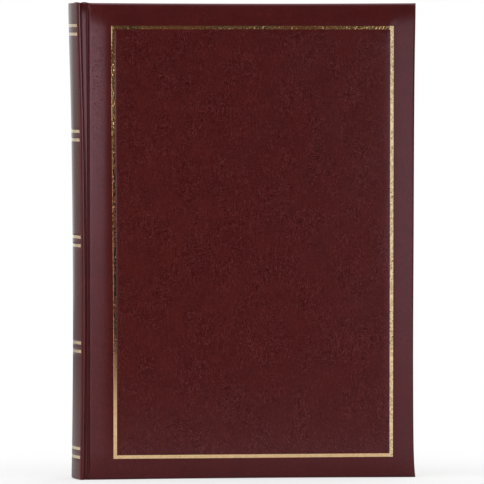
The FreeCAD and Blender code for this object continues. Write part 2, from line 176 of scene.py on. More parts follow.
@dataclass
class Surface:
    """Points on grids, in millimetres, and the quads that join them."""

    points: np.ndarray
    faces: np.ndarray

    @classmethod
    def grid(cls, points: np.ndarray, ring: bool = False) -> "Surface":
        """Joins each point of a grid to the next row and the next column.

        Args:
            points: Array of rows, columns and coordinates, with any axes before them for copies.
            ring: Whether the last column joins the first.

        Returns:
            The joined surface.
        """
        grids = points.reshape((-1,) + points.shape[-3:])
        copies, rows, columns = grids.shape[:3]
        steps = columns if ring else columns - 1
        row, column = np.meshgrid(np.arange(rows - 1), np.arange(steps), indexing="ij")
        beside = (column + 1) % columns
        here, above = row * columns, (row + 1) * columns
        corners = [here + column, here + beside, above + beside, above + column]
        quads = np.stack(corners, axis=-1).reshape(-1, 4)
        shifts = np.arange(copies)[:, None, None] * rows * columns
        return cls(grids.reshape(-1, 3), (quads[None] + shifts).reshape(-1, 4))

    @classmethod
    def shell(cls, outer: np.ndarray, inner: np.ndarray) -> "Surface":
        """Closed sheet between two faces on the same grid, whose first and last rows meet halfway.

        Args:
            outer: Grid of the outer face.
            inner: Grid of the inner face.

        Returns:
            The closed surface.
        """
        middle = (outer + inner) / 2.0
        loops = np.concatenate([outer, inner[..., ::-1, :]], axis=-2)
        rims = np.concatenate([middle, middle[..., ::-1, :]], axis=-2)
        closed = np.concatenate([rims[..., :1, :, :], loops, rims[..., -1:, :, :]], axis=-3)
        return cls.grid(closed, ring=True)

    def joined(self, other: "Surface") -> "Surface":
        """One surface that holds this one and another."""
        faces = np.vstack([self.faces, other.faces + len(self.points)])
        return Surface(np.vstack([self.points, other.points]), faces)

    def to_object(self, name: str, crease: float = CREASE) -> bpy.types.Object:
        """Writes the surface as a mesh object, with doubles merged and faces turned outwards.

        Args:
            name: Name of the piece.
            crease: Angle in degrees past which an edge stays sharp.

        Returns:
            The object, at the origin.
        """
        mesh = bpy.data.meshes.new(name)
        mesh.from_pydata((self.points * MM).tolist(), [], self.faces.tolist())
        work = bmesh.new()
        work.from_mesh(mesh)
        bmesh.ops.remove_doubles(work, verts=work.verts, dist=MERGE)
        bmesh.ops.dissolve_degenerate(work, edges=work.edges, dist=MERGE)
        bmesh.ops.recalc_face_normals(work, faces=work.faces)
        work.to_mesh(mesh)
        work.free()
        mesh.shade_smooth()
        mesh.set_sharp_from_angle(angle=math.radians(crease))
        made = bpy.data.objects.new(name, mesh)
        bpy.context.scene.collection.objects.link(made)
        return made


class Value:
    """A socket of a node tree, with arithmetic that adds Math nodes."""

    def __init__(self, graph: "Graph", socket: bpy.types.NodeSocket) -> None:
        """Keeps the graph and the socket."""
        self.graph = graph
        self.socket = socket

    def sibling(self, name: str) -> "Value":
        """Another output of the same node."""
        return Value(self.graph, self.socket.node.outputs[name])

    def _math(self, operation: str, *terms: Any, clamp: bool = False) -> "Value":
        """Adds a Math node on the terms."""
        settings = {"operation": operation, "use_clamp": clamp}
        return self.graph.node("ShaderNodeMath", settings, dict(enumerate(terms)))

    def __add__(self, other: Any) -> "Value":
        """This value plus another."""
        return self._math("ADD", self, other)

    def __radd__(self, other: Any) -> "Value":
        """Another value plus this one."""
        return self._math("ADD", other, self)

    def __sub__(self, other: Any) -> "Value":
        """This value less another."""
        return self._math("SUBTRACT", self, other)

    def __rsub__(self, other: Any) -> "Value":
        """Another value less this one."""
        return self._math("SUBTRACT", other, self)

    def __mul__(self, other: Any) -> "Value":
        """This value times another."""
        return self._math("MULTIPLY", self, other)

    def __rmul__(self, other: Any) -> "Value":
        """Another value times this one."""
        return self._math("MULTIPLY", other, self)

    def sine(self) -> "Value":
        """Sine of this value."""
        return self._math("SINE", self)

    def clamped(self) -> "Value":
        """This value held between 0 and 1."""
        return self._math("ADD", self, 0.0, clamp=True)

    def hump(self, level: float, width: float) -> "Value":
        """Parabola of this value, 1 at a level and 0 from a width away."""
        away = (self - level) * (1.0 / width)
        return (1.0 - away * away).clamped()

    def step(self, low: float, high: float) -> "Value":
        """Smooth step of this value, from 0 at low to 1 at high."""
        inputs = {"Value": self, "From Min": low, "From Max": high}
        return self.graph.node("ShaderNodeMapRange", {"interpolation_type": "SMOOTHSTEP"}, inputs)

    def past(self, level: float, soft: float) -> "Value":
        """Smooth step of this value about a level, over a soft stretch to either side."""
        return self.step(level - soft, level + soft)


class Graph:
    """The node tree of one material or world."""

    def __init__(self, tree: bpy.types.NodeTree) -> None:
        """Empties the tree and keeps it."""
        self.tree = tree
        self.tree.nodes.clear()

    @staticmethod
    def _socket(sockets: Any, key: str | int) -> bpy.types.NodeSocket:
        """Finds a socket.

        Args:
            sockets: Inputs or outputs of a node.
            key: The socket's number, identifier or name.

        Returns:
            The first socket that fits.
        """
        if isinstance(key, int):
            return sockets[key]
        named = [s for s in sockets if s.identifier == key] or [s for s in sockets if s.name == key]
        return named[0]

    def node(
        self,
        kind: str,
        settings: dict[str, Any] | None = None,
        inputs: dict[str | int, Any] | None = None,
        output: str | int = 0,
    ) -> Value:
        """Adds a node, sets it, and fills its sockets.

        Args:
            kind: The node's type.
            settings: Properties that are set first.
            inputs: Values or links, by a socket's number, identifier or name.
            output: The socket that is returned.

        Returns:
            The output socket as a value.
        """
        made = self.tree.nodes.new(kind)
        for key, setting in (settings or {}).items():
            setattr(made, key, setting)
        for key, value in (inputs or {}).items():
            target = self._socket(made.inputs, key)
            if isinstance(value, Value):
                self.tree.links.new(value.socket, target)
            else:
                target.default_value = value
        return Value(self, self._socket(made.outputs, output) if len(made.outputs) else None)

    def millimetres(self, stretch: tuple[float, float, float] = (1.0, 1.0, 1.0)) -> Value:
        """Object coordinates in millimetres.

        Args:
            stretch: What each axis is multiplied by.

        Returns:
            The coordinates as a vector.
        """
        place = self.node("ShaderNodeTexCoord", output="Object")
        factors = tuple(axis / MM for axis in stretch)
        return self.node("ShaderNodeVectorMath", {"operation": "MULTIPLY"}, {0: place, 1: factors})

    def axes(self, vector: Value) -> tuple[Value, Value, Value]:
        """The x, y and z of a vector."""
        first = self.node("ShaderNodeSeparateXYZ", inputs={0: vector})
        return first, first.sibling("Y"), first.sibling("Z")

    def noise(self, place: Value, scale: float, detail: float = 2.0, rough: float = 0.5) -> Value:
        """Cloudy noise from 0 to 1 with a number of features per millimetre."""
        inputs = {"Vector": place, "Scale": scale, "Detail": detail, "Roughness": rough}
        return self.node("ShaderNodeTexNoise", inputs=inputs, output="Fac")

    def warp(self, place: Value, scale: float, reach: float) -> Value:
        """Moves a place by coloured noise.

        Args:
            place: The place as a vector.
            scale: Features of the noise per millimetre.
            reach: Twice the furthest that the place moves either way.

        Returns:
            The moved place.
        """
        clouds = self.node("ShaderNodeTexNoise", inputs={"Vector": place, "Scale": scale}, output="Color")
        inputs = {0: clouds, 1: (reach,) * 3, 2: place}
        return self.node("ShaderNodeVectorMath", {"operation": "MULTIPLY_ADD"}, inputs)

    def mix(self, share: Any, first: Any, second: Any) -> Value:
        """Colour that goes from the first to the second with a share."""
        inputs = {"Factor_Float": share, "A_Color": first, "B_Color": second}
        return self.node("ShaderNodeMix", {"data_type": "RGBA"}, inputs, output="Result_Color")

    def relief(self, height: Value, depth: float) -> Value:
        """Normal of a surface whose height of 0 to 1 stands for a depth in millimetres."""
        inputs = {"Strength": 1.0, "Distance": depth * MM, "Height": height}
        return self.node("ShaderNodeBump", inputs=inputs, output="Normal")

    def blend(self, share: Any, first: Value, second: Value) -> Value:
        """Shader that goes from the first to the second with a share."""
        return self.node("ShaderNodeMixShader", inputs={0: share, 1: first, 2: second})

    def surface(self, **inputs: Any) -> None:
        """Ends the tree in a Principled shader.

        Args:
            inputs: Values or links, by the sockets' names with spaces as underscores.
        """
        named = {key.replace("_", " "): value for key, value in inputs.items()}
        shader = self.node("ShaderNodeBsdfPrincipled", inputs=named)
        self.node("ShaderNodeOutputMaterial", inputs={"Surface": shader})


class Finish(ABC):
    """A finish that makes its material once and lays it on pieces."""

    name: str

    @abstractmethod
    def shade(self, graph: Graph) -> None:
        """Fills the material's node tree."""

    def material(self) -> bpy.types.Material:
        """Finds the finish's material, or makes it at the first call.

        Returns:
            The material.
        """
        found = bpy.data.materials.get(self.name)
        if found is None:
            found = bpy.data.materials.new(self.name)
            found.use_nodes = True
            self.shade(Graph(found.node_tree))
        return found

    def lay(self, piece: bpy.types.Object) -> None:
        """Gives a piece this finish all over."""
        piece.data.materials.clear()
        piece.data.materials.append(self.material())


@dataclass(frozen=True)
class Leatherette(Finish):
    """Burgundy leatherette: specks and short strokes with painted glints and painted shade, fainter on the
    margins, and pits by the joints.
    """

    name: str = "burgundy_leatherette"
    deep: Colour = (0.051, 0.0056, 0.0045, 1.0)
    bright: Colour = (0.076, 0.0086, 0.0068, 1.0)
    # Colours of the painted shade and the painted glints on the grain.
    grain_shade: Colour = (0.034, 0.0012, 0.0009, 1.0)
    grain_glint: Colour = (0.102, 0.0190, 0.0172, 1.0)
    tint: Colour = (1.0, 0.70, 0.86, 1.0)
    patch_scale: float = 0.08
    cloud_scale: float = 0.05
    stroke_scale: float = 0.70
    stroke_warp: Span = (0.3, 2.2)
    stroke_width: float = 0.03
    stroke_weight: float = 1.1
    # Levels and shares of the painted glints and the painted shade along the strokes.
    glint_level: float = 0.46
    glint_share: float = 0.95
    shade_level: float = 0.53
    shade_share: float = 0.85
    speck_scale: float = 1.4
    speck_weight: float = 0.55
    depth: float = 0.0105
    gloss: float = 0.175
    shine: float = 0.36
    margin_share: float = 0.35
    margin_soft: float = 2.0
    panel_low: Span = (-84.0, 15.0)
    panel_high: Span = (94.0, 289.0)
    pit_scale: float = 0.85
    pits_start: float = -101.5
    pits_end: float = -93.0
    pits_heights: Span = (130.0, 270.0)

    def strokes(self, graph: Graph, patch: Value) -> Value:
        """Short strokes: warped noise drawn out along z, and along x where the patches are low.

        Args:
            graph: Node tree of the material.
            patch: Noise that picks the way of the strokes.

        Returns:
            Heights from 0 to 1.
        """
        stretches = ((1.0, 1.0, 0.32), (0.40, 1.0, 1.0))
        ways = [graph.warp(graph.millimetres(stretch), *self.stroke_warp) for stretch in stretches]
        upright, level = (graph.noise(way, self.stroke_scale, rough=0.6) for way in ways)
        share = patch.step(0.36, 0.50)
        return upright * share + level * (1.0 - share)

    def vivid(self, graph: Graph) -> Value:
        """Strength of the painted glints and painted shade: patchy, full on the panel inside the frame, and
        less on the margins.

        Args:
            graph: Node tree of the material.

        Returns:
            Shares from 0 to 1.
        """
        x, _, z = graph.axes(graph.millimetres())
        clouds = graph.noise(graph.millimetres((1.0, 1.0, 0.8)), self.cloud_scale, rough=0.6)
        patchy = clouds.step(0.38, 0.62) * 0.6 + 0.4
        inside: Any = 1.0
        for axis, low, high in zip((x, z), self.panel_low, self.panel_high):
            inside = inside * (axis.past(low, self.margin_soft) - axis.past(high, self.margin_soft))
        return patchy * (inside * (1.0 - self.margin_share) + self.margin_share)

    def pits(self, graph: Graph) -> Value:
        """Small pits in a band beside the joints, more of them towards the head.

        Args:
            graph: Node tree of the material.

        Returns:
            Depths from 0 to 1.
        """
        x, _, z = graph.axes(graph.millimetres())
        beside = x.past(self.pits_start, 1.0) * (1.0 - x.past(self.pits_end, 3.0))
        high = z.step(*self.pits_heights) * 0.7 + 0.3
        dots = graph.noise(graph.millimetres((0.8, 1.0, 1.0)), self.pit_scale, detail=1.0)
        return dots.step(0.54, 0.68) * beside * high

    def shade(self, graph: Graph) -> None:
        """Painted glints and painted shade lie on a patchy tone where strokes and specks pass certain
        levels.

        Args:
            graph: Node tree of the material.
        """
        patch = graph.noise(graph.millimetres(), self.patch_scale, detail=3.0, rough=0.65)
        stroke = self.strokes(graph, patch)
        speck = graph.noise(graph.millimetres((1.0, 1.0, 0.5)), self.speck_scale, rough=0.6)
        vivid = self.vivid(graph)
        pits = self.pits(graph)
        tone = graph.mix((patch * 1.6 + stroke * 0.6 - 0.6).clamped(), self.deep, self.bright)
        # Light humps of the strokes and light specks are painted glints on the grain; dark humps, just past
        # them, and dark specks are painted shade.
        levels = (self.glint_level, self.shade_level)
        light, dark = (stroke.hump(level, self.stroke_width) * self.stroke_weight for level in levels)
        light = light + speck.step(0.52, 0.70) * self.speck_weight
        dark = dark + (1.0 - speck.step(0.30, 0.48)) * self.speck_weight
        glinted = graph.mix(light * vivid * self.glint_share, tone, self.grain_glint)
        graph.surface(
            Base_Color=graph.mix(dark * vivid * self.shade_share, glinted, self.grain_shade),
            Roughness=(self.gloss + speck * 0.05 + pits * 0.10).clamped(),
            Specular_IOR_Level=self.shine,
            Specular_Tint=self.tint,
            Normal=graph.relief(stroke * 0.8 + speck * 0.3 - pits, self.depth),
        )


@dataclass(frozen=True)
class WearAndShade:
    """Where a stamped frame has lost foil: in patches on its head and spine lines, less on the fore line.
    Where painted shade darkens its gold: on its head line and the spine line's upper part.

    The places are the inner edges of the frame's lines. The spine line is whole up to a height, rubbed and
    darkened by painted shade from another, and darkest up to a third. Near the head its outer edge is kept
    from both.
    """

    head: float
    spine: float
    fore: float
    whole_to: float
    worn_and_shaded_from: float
    thin_to: float
    most: float
    fore_share: float
    soft: float = 0.3
    thin_fade: float = 20.0
    kept_edge: float = 3.0
    kept_soft: float = 0.2
    kept_length: float = 8.0
    patch_scale: float = 0.04

    def spine_line(self, graph: Graph) -> Value:
        """Share of the spine line: 1 on it, and 0 on the others."""
        x, _, _ = graph.axes(graph.millimetres())
        return 1.0 - x.past(self.spine, self.soft)

    def fore_line(self, graph: Graph) -> Value:
        """Share of the fore line: 1 on it, and 0 on the others."""
        x, _, _ = graph.axes(graph.millimetres())
        return x.past(self.fore, self.soft)

    def upper(self, graph: Graph) -> Value:
        """Share of the heights at which the upright lines are worn."""
        _, _, z = graph.axes(graph.millimetres())
        return z.step(self.whole_to, self.worn_and_shaded_from)

    def worn_and_shaded(self, graph: Graph) -> Value:
        """Rubbing and painted shade of the spine line's upper part and of the head line, apart from the
        edge that is kept.

        Args:
            graph: Node tree of the material.

        Returns:
            Shares from 0 to 1.
        """
        x, _, z = graph.axes(graph.millimetres())
        head = z.past(self.head, self.soft) * (1.0 - self.fore_line(graph))
        lines = self.spine_line(graph) * self.upper(graph) + head
        edge = 1.0 - x.past(self.spine - self.kept_edge, self.kept_soft)
        kept = edge * z.past(self.head - self.kept_length, self.kept_length)
        return lines.clamped() * (1.0 - kept)

    def thin(self, graph: Graph) -> Value:
        """Share of the darkest painted shade, from 0 to 1: the middle heights of the spine line."""
        _, _, z = graph.axes(graph.millimetres())
        return self.spine_line(graph) * (1.0 - z.past(self.thin_to, self.thin_fade)) * self.upper(graph)

    def loss(self, graph: Graph) -> Value:
        """What is taken from the noise that keeps the foil: the rubbing, more in some patches than others.

        Args:
            graph: Node tree of the material.

        Returns:
            Losses from 0 on.
        """
        fore = self.fore_line(graph) * self.upper(graph)
        clouds = graph.noise(graph.millimetres(), self.patch_scale, detail=1.0)
        patches = clouds.step(0.32, 0.68) * 0.8 + 0.55
        return (self.worn_and_shaded(graph) + fore * self.fore_share) * patches * self.most


@dataclass(frozen=True)
class Foil(Finish):
    """Gold foil stamped into leatherette, whose grain shows through and has rubbed small gaps."""

    name: str
    gold: Colour
    dull: Colour
    metal: float
    wear_and_shade: WearAndShade | None = None
    ground: Colour = (0.095, 0.030, 0.009, 1.0)
    # Painted shade: darker colours of the gold left on the rubbed lines, the second for the spine line's
    # middle heights.
    shaded_gold: Colour = (0.60, 0.355, 0.165, 1.0)
    thin: Colour = (0.30, 0.155, 0.085, 1.0)
    # Painted highlight: paler gold of the fore line, which faces the right lamp, with duller spots in its
    # mottle.
    fore_highlight_bright: Colour = (0.82, 0.62, 0.375, 1.0)
    fore_highlight_dull: Colour = (0.48, 0.365, 0.215, 1.0)
    grain_scale: float = 0.8
    grain_warp: Span = (0.5, 1.2)
    gap_levels: Span = (0.24, 0.31)
    depth: float = 0.12
    gloss: float = 0.07
    shine: float = 0.06

    def shade(self, graph: Graph) -> None:
        """Metal with bumpy grain; where fine noise is low the foil has gone and the ground shows.

        On the frame the fore line has a paler, mottled gold as painted highlight, and what is left on the
        rubbed lines is darkened by painted shade.

        Args:
            graph: Node tree of the material.
        """
        warped = graph.warp(graph.millimetres(), *self.grain_warp)
        grain = graph.noise(warped, self.grain_scale, detail=1.0)
        kept = graph.noise(graph.millimetres(), self.grain_scale, rough=0.55)
        colour = graph.mix(grain.step(0.3, 0.7), self.dull, self.gold)
        metal: Any = self.metal
        if self.wear_and_shade is not None:
            # Painted highlight: the fore line takes a paler, mottled gold.
            fore_highlight = graph.mix(grain.step(0.36, 0.62), self.fore_highlight_dull, self.fore_highlight_bright)
            colour = graph.mix(self.wear_and_shade.fore_line(graph), colour, fore_highlight)
            # Painted shade: on the rubbed head line and upper spine line the gold takes a darker colour,
            # darkest at the spine line's middle heights; the gaps there are real rubbing.
            worn_and_shaded = self.wear_and_shade.worn_and_shaded(graph).clamped()
            kept = kept - self.wear_and_shade.loss(graph)
            colour = graph.mix(self.wear_and_shade.thin(graph), graph.mix(worn_and_shaded, colour, self.shaded_gold), self.thin)
            metal = worn_and_shaded * (1.0 - self.metal) + self.metal
        gone = 1.0 - kept.step(*self.gap_levels)
        graph.surface(
            Base_Color=graph.mix(gone, colour, self.ground),
            Metallic=(1.0 - gone) * metal,
            Roughness=(self.gloss + grain * 0.06 + gone * 0.25).clamped(),
            Specular_IOR_Level=self.shine,
            Normal=graph.relief(grain, self.depth),
        )


@dataclass(frozen=True)
class Paper(Finish):
    """Paper or card: an even tone with faint clouds and fibres."""

    name: str
    light: Colour
    shade_tone: Colour
    rough: float = 0.72
    alpha: float = 1.0
    fibre: float = 0.03
    fibre_scale: float = 1.1
    cloud_scale: float = 0.05
    shine: float = 0.3

    def shade(self, graph: Graph) -> None:
        """Clouds and fine long noise for the fibres mix the two tones.

        Args:
            graph: Node tree of the material.
        """
        clouds = graph.noise(graph.millimetres(), self.cloud_scale, detail=4.0)
        fibres = graph.noise(graph.millimetres((1.6, 1.6, 0.25)), self.fibre_scale, detail=3.0, rough=0.7)
        tone = (clouds * 0.6 + fibres * 0.7 - 0.25).clamped()
        graph.surface(
            Base_Color=graph.mix(tone, self.shade_tone, self.light),
            Roughness=(self.rough - 0.1 + fibres * 0.2).clamped(),
            Specular_IOR_Level=self.shine,
            Alpha=self.alpha,
            Normal=graph.relief(fibres, self.fibre),
        )


@dataclass(frozen=True)
class Film(Finish):
    """Clear film of the stamp strips, with faint streaks from rolling."""

    name: str = "clear_strip_film"
    tint: Colour = (0.90, 0.91, 0.90, 1.0)
    hazy: Colour = (0.93, 0.93, 0.92, 1.0)
    alpha: float = 0.12
    rough: float = 0.12
    streak_scale: float = 1.0
    haze_scale: float = 0.03
    depth: float = 0.001

    def shade(self, graph: Graph) -> None:
        """Streaks along x show in the sheen and in a faint relief, and haze in the tint.

        Args:
            graph: Node tree of the material.
        """
        streaks = graph.noise(graph.millimetres((0.05, 1.0, 1.4)), self.streak_scale)
        haze = graph.noise(graph.millimetres(), self.haze_scale)
        graph.surface(
            Base_Color=graph.mix(haze, self.tint, self.hazy),
            Roughness=(self.rough + streaks * 0.04).clamped(),
            Alpha=(self.alpha - 0.02 + haze * 0.04).clamped(),
            Normal=graph.relief(streaks, self.depth),
        )


@dataclass(frozen=True)
class Linen(Finish):
    """Bookbinder's linen: threads over and under each other."""

    name: str = "white_linen"
    thread: Colour = (0.80, 0.78, 0.71, 1.0)
    # Painted shade between the threads.
    gap: Colour = (0.52, 0.49, 0.42, 1.0)
    pitch: float = 0.55
    thread_warp: Span = (0.4, 0.18)
    slub_scale: float = 0.9
    rough: float = 0.85
    shine: float = 0.2
    depth: float = 0.06

    def shade(self, graph: Graph) -> None:
        """Two sets of waves, along z and across it, whose product alternates over and under, with painted
        shade between the threads.

        Args:
            graph: Node tree of the material.
        """
        x, y, z = graph.axes(graph.warp(graph.millimetres(), *self.thread_warp))
        turn = 2.0 * math.pi / self.pitch
        weave = (((x + y) * turn).sine() * (z * turn).sine() * 0.5 + 0.5).clamped()
        slub = graph.noise(graph.millimetres((2.0, 2.0, 0.2)), self.slub_scale)
        graph.surface(
            # Where the waves are low, between the threads, the colour goes to painted shade.
            Base_Color=graph.mix((weave * 0.7 + slub * 0.5 - 0.1).clamped(), self.gap, self.thread),
            Roughness=self.rough,
            Specular_IOR_Level=self.shine,
            Normal=graph.relief(weave * 0.8 + slub * 0.2, self.depth),
        )


@dataclass(frozen=True)
class BandSilk(Finish):
    """Silk of the headbands: red and white threads in turn."""

    name: str = "headband_silk"
    red: Colour = (0.36, 0.028, 0.030, 1.0)
    white: Colour = (0.80, 0.76, 0.66, 1.0)
    # Painted shade in the hollows of the twist.
    hollow: Colour = (0.12, 0.03, 0.03, 1.0)
    stripe: float = 3.2
    twist: float = 4.2
    rough: float = 0.5
    shine: float = 0.4
    depth: float = 0.05

    def shade(self, graph: Graph) -> None:
        """The sign of a wave along y picks the thread, and a finer wave gives its twist, with painted shade
        in its hollows.

        Args:
            graph: Node tree of the material.
        """
        _, y, z = graph.axes(graph.millimetres())
        picked = ((y + z * 0.25) * (2.0 * math.pi / self.stripe)).sine().step(-0.12, 0.12)
        twist = ((y * 2.0 + z * 3.0) * self.twist).sine() * 0.5 + 0.5
        threads = graph.mix(picked, self.red, self.white)
        graph.surface(
            Base_Color=graph.mix(twist * 0.35, threads, self.hollow),
            Roughness=self.rough,
            Specular_IOR_Level=self.shine,
            Normal=graph.relief(twist, self.depth),
        )


LEATHERETTE = Leatherette()
# Places of the frame's rubbed foil and of its painted shade.
FRAME_WEAR_AND_SHADE = WearAndShade(
    head=287.9,
    spine=-84.2,
    fore=92.8,
    whole_to=30.0,
    worn_and_shaded_from=110.0,
    thin_to=222.0,
    most=0.20,
    fore_share=0.5,
)
FRAME_FOIL = Foil(
    "frame_gold_foil",
    gold=(0.78, 0.54, 0.30, 1.0),
    dull=(0.70, 0.46, 0.235, 1.0),
    metal=0.2,
    wear_and_shade=FRAME_WEAR_AND_SHADE,
)
SPINE_FOIL = Foil(
    "spine_gold_foil", gold=(0.84, 0.65, 0.41, 1.0), dull=(0.70, 0.52, 0.30, 1.0), metal=0.55
)
BOARD = Paper("grey_board", (0.30, 0.27, 0.22, 1.0), (0.20, 0.18, 0.15, 1.0), rough=0.85, fibre=0.06)
ENDPAPER = Paper("cream_endpaper", (0.80, 0.76, 0.66, 1.0), (0.72, 0.67, 0.56, 1.0), rough=0.7)
LEAF_CARD = Paper("leaf_card", (0.86, 0.85, 0.80, 1.0), (0.79, 0.77, 0.71, 1.0), rough=0.55, fibre=0.02)
GLASSINE = Paper(
    "glassine_sheet", (0.84, 0.83, 0.78, 1.0), (0.76, 0.75, 0.70, 1.0), rough=0.35, alpha=0.5
)
FILM = Film()
LINEN = Linen()
BAND_SILK = BandSilk()


class SubAssembly(ABC):
    """Pieces that are built and dressed together."""

    @abstractmethod
    def build(self) -> list[bpy.types.Object]:
        """Makes the pieces, dressed, and puts some of them on their bodies."""

    @staticmethod
    def piece(
        surface: Surface, name: str, finish: Finish, slot: str, *nodes: str, crease: float = CREASE
    ) -> bpy.types.Object:
        """Makes a piece, lays its finish, and hides the construction parts that it replaces.

        Args:
            surface: Its surface.
            name: Its name.
            finish: Its finish.
            slot: The construction's material slot that it takes; not used.
            nodes: Names of the construction parts that it replaces.
            crease: Angle in degrees past which an edge stays sharp.

        Returns:
            The piece, which is on no body yet.
        """
        made = surface.to_object(name, crease)
        finish.lay(made)
        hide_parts(*nodes)
        return made


@dataclass(frozen=True)
class Fold:
    """A fold along the fore edge: its depth, place and half width across, and its reach along the edge."""

    depth: float
    place: float
    width: float
    reach: float

    def across(self, fore: np.ndarray) -> np.ndarray:
        """Depth at distances from the fore edge: a bell about the fold's place."""
        return self.depth * np.exp(-(((fore - self.place) / self.width) ** 2))


@dataclass
class CoverSkin(SubAssembly):
    """A padded cover: leatherette drawn over foam and turned in round the board.

    The surface is a profile carried round a rectangle. It runs from a line in the middle of the inner
    face, out under the turned-in margin, up the edge and over the crowned outer face to a line in its
    middle.
    """

    side: Side
    fill: float = 0.8
    board_face: float = 15.25
    edge_round: float = 0.6
    crown: float = 1.6
    crown_width: float = 17.5
    crown_power: float = 1.8
    corner_power: float = 1.5
    fore_width: float = 17.4
    shoulder: float = 1.9
    shoulder_drop: float = 1.1
    turn_in: float = 15.0
    line_start: float = 13.9
    line_end: float = 16.1
    line_edge: float = 0.3
    line_depth: float = 0.07
    line_shift: float = 1.2
    shift_span: Span = (4.0, 13.0)
    press: float = 0.16
    press_reach: float = 3.0
    stamp_start: Span = (5.0, 12.5)
    stamp_end: Span = (18.0, 34.0)
    stamp_corner: Span = (18.0, 70.0)
    lean: float = 1.36
    lean_heights: Span = (60.0, 300.0)
    twist: float = 0.3
    head_sink: float = 0.75
    tail_sink: float = 0.45
    draw: float = 1.35
    draw_tail: float = 9.0
    draw_head: float = 50.0
    draw_reach: float = 13.0
    draw_ends: float = 0.4
    arch_power: float = 0.8
    hollow: float = 0.35
    hollow_height: float = 80.0
    hollow_reach: float = 60.0
    lap: float = 0.3
    lap_reach: float = 8.0
    wave: float = 0.05
    wave_span: Span = (6.0, 30.0)
    wave_lengths: tuple[float, float, float, float] = (13.0, 17.0, 7.1, 11.3)
    tuck: Fold = Fold(0.34, 1.7, 0.42, 9.0)
    pleat: Fold = Fold(0.10, 3.4, 0.9, 16.0)
    long_fold: Fold = Fold(0.22, 0.85, 0.32, 85.0)
    long_fold_start: Span = (1.0, 5.0)
    steps: int = 72
    line_steps: int = 13
    round_steps: int = 7

    def __post_init__(self) -> None:
        """Reads the cover's place from its construction part."""
        self.box = Box.of(self.side.node("leatherette"))
        self.inner_face, self.outer_face = sorted(abs(c[1]) for c in (self.box.low, self.box.high))
        self.half_width = (self.box.high[0] - self.box.low[0]) / 2.0

    def ring(self, inset: np.ndarray, widened: bool = True) -> tuple[np.ndarray, np.ndarray]:
        """Points round a rectangle that lies inside the cover's outline by an inset.

        Args:
            inset: Array of insets, one for each ring.
            widened: Whether insets grow at the spine and the fore edge, where the line lies further in.

        Returns:
            Arrays of x and z, with a row for each ring.
        """
        side = inset + (self.line_shift * rise(inset, *self.shift_span) if widened else 0.0)
        share = spread(0.0, 1.0, self.steps)[:-1]
        level = np.zeros(len(share))
        across = np.concatenate([share, level + 1.0, 1.0 - share, level])
        along = np.concatenate([level, share, level + 1.0, 1.0 - share])
        low, high = self.box.low, self.box.high
        x = low[0] + side[:, None] + across * (high[0] - low[0] - 2.0 * side[:, None])
        z = low[2] + inset[:, None] + along * (high[2] - low[2] - 2.0 * inset[:, None])
        return x, z

    def askew(self, x: np.ndarray, z: np.ndarray, inset: np.ndarray) -> tuple[np.ndarray, np.ndarray]:
        """Places after the stamp, which was set a little askew, has carried the skin near its line along.

        The spine line leans out towards the head by a smooth step, the fore line turns about mid height,
        and the head and tail lines lie lower. All fade by smooth steps of the inset, and along the lines
        from their corners.

        Args:
            x: Places along x.
            z: Heights.
            inset: Distance in from the cover's outline.

        Returns:
            Moved places along x and heights.
        """
        low, high = self.box.low, self.box.high
        start, end = self.stamp_corner
        near = rise(inset, *self.stamp_start) * (1.0 - rise(inset, *self.stamp_end))
        spine = 1.0 - rise(x, low[0] + start, low[0] + end)
        fore = rise(x, high[0] - end, high[0] - start)
        head = rise(z, high[2] - end, high[2] - start)
        tail = 1.0 - rise(z, low[2] + start, low[2] + end)
        turned = self.twist * (2.0 * z / high[2] - 1.0) * fore
        across = turned - self.lean * rise(z, *self.lean_heights) * spine
        return x + near * across, z - near * (self.head_sink * head + self.tail_sink * tail)

    def drawn_in(self, x: np.ndarray, z: np.ndarray) -> tuple[np.ndarray, np.ndarray]:
        """Places after the fore edge, the head and the tail are drawn in between the corners.

        At the fore edge the shift grows from nothing at the corners, quickly from the tail and slowly from
        the head, with a little more in a hollow at a quarter of the height; at head and tail it is a wide
        arch. All fade over the margin. The spine edge laps a little over the joint.

        Args:
            x: Places along x.
            z: Heights.

        Returns:
            Moved places along x and heights.
        """
        low, high = self.box.low, self.box.high
        tail = 1.0 - np.exp(-z / self.draw_tail)
        head = 1.0 - np.exp(-(high[2] - z) / self.draw_head)
        hollow = self.hollow * np.exp(-(((z - self.hollow_height) / self.hollow_reach) ** 2))
        fore = tail * (self.draw * head + hollow) * rise(x, high[0] - self.draw_reach, high[0])
        lap = self.lap * rise(-x, -low[0] - self.lap_reach, -low[0])
        width = np.clip((x - low[0]) / (high[0] - low[0]), 0.0, 1.0)
        arch = self.draw_ends * np.sin(np.pi * width) ** self.arch_power
        ends = rise(-z, -self.draw_reach, 0.0) - rise(z, high[2] - self.draw_reach, high[2])
        return x - fore - lap, z + arch * ends

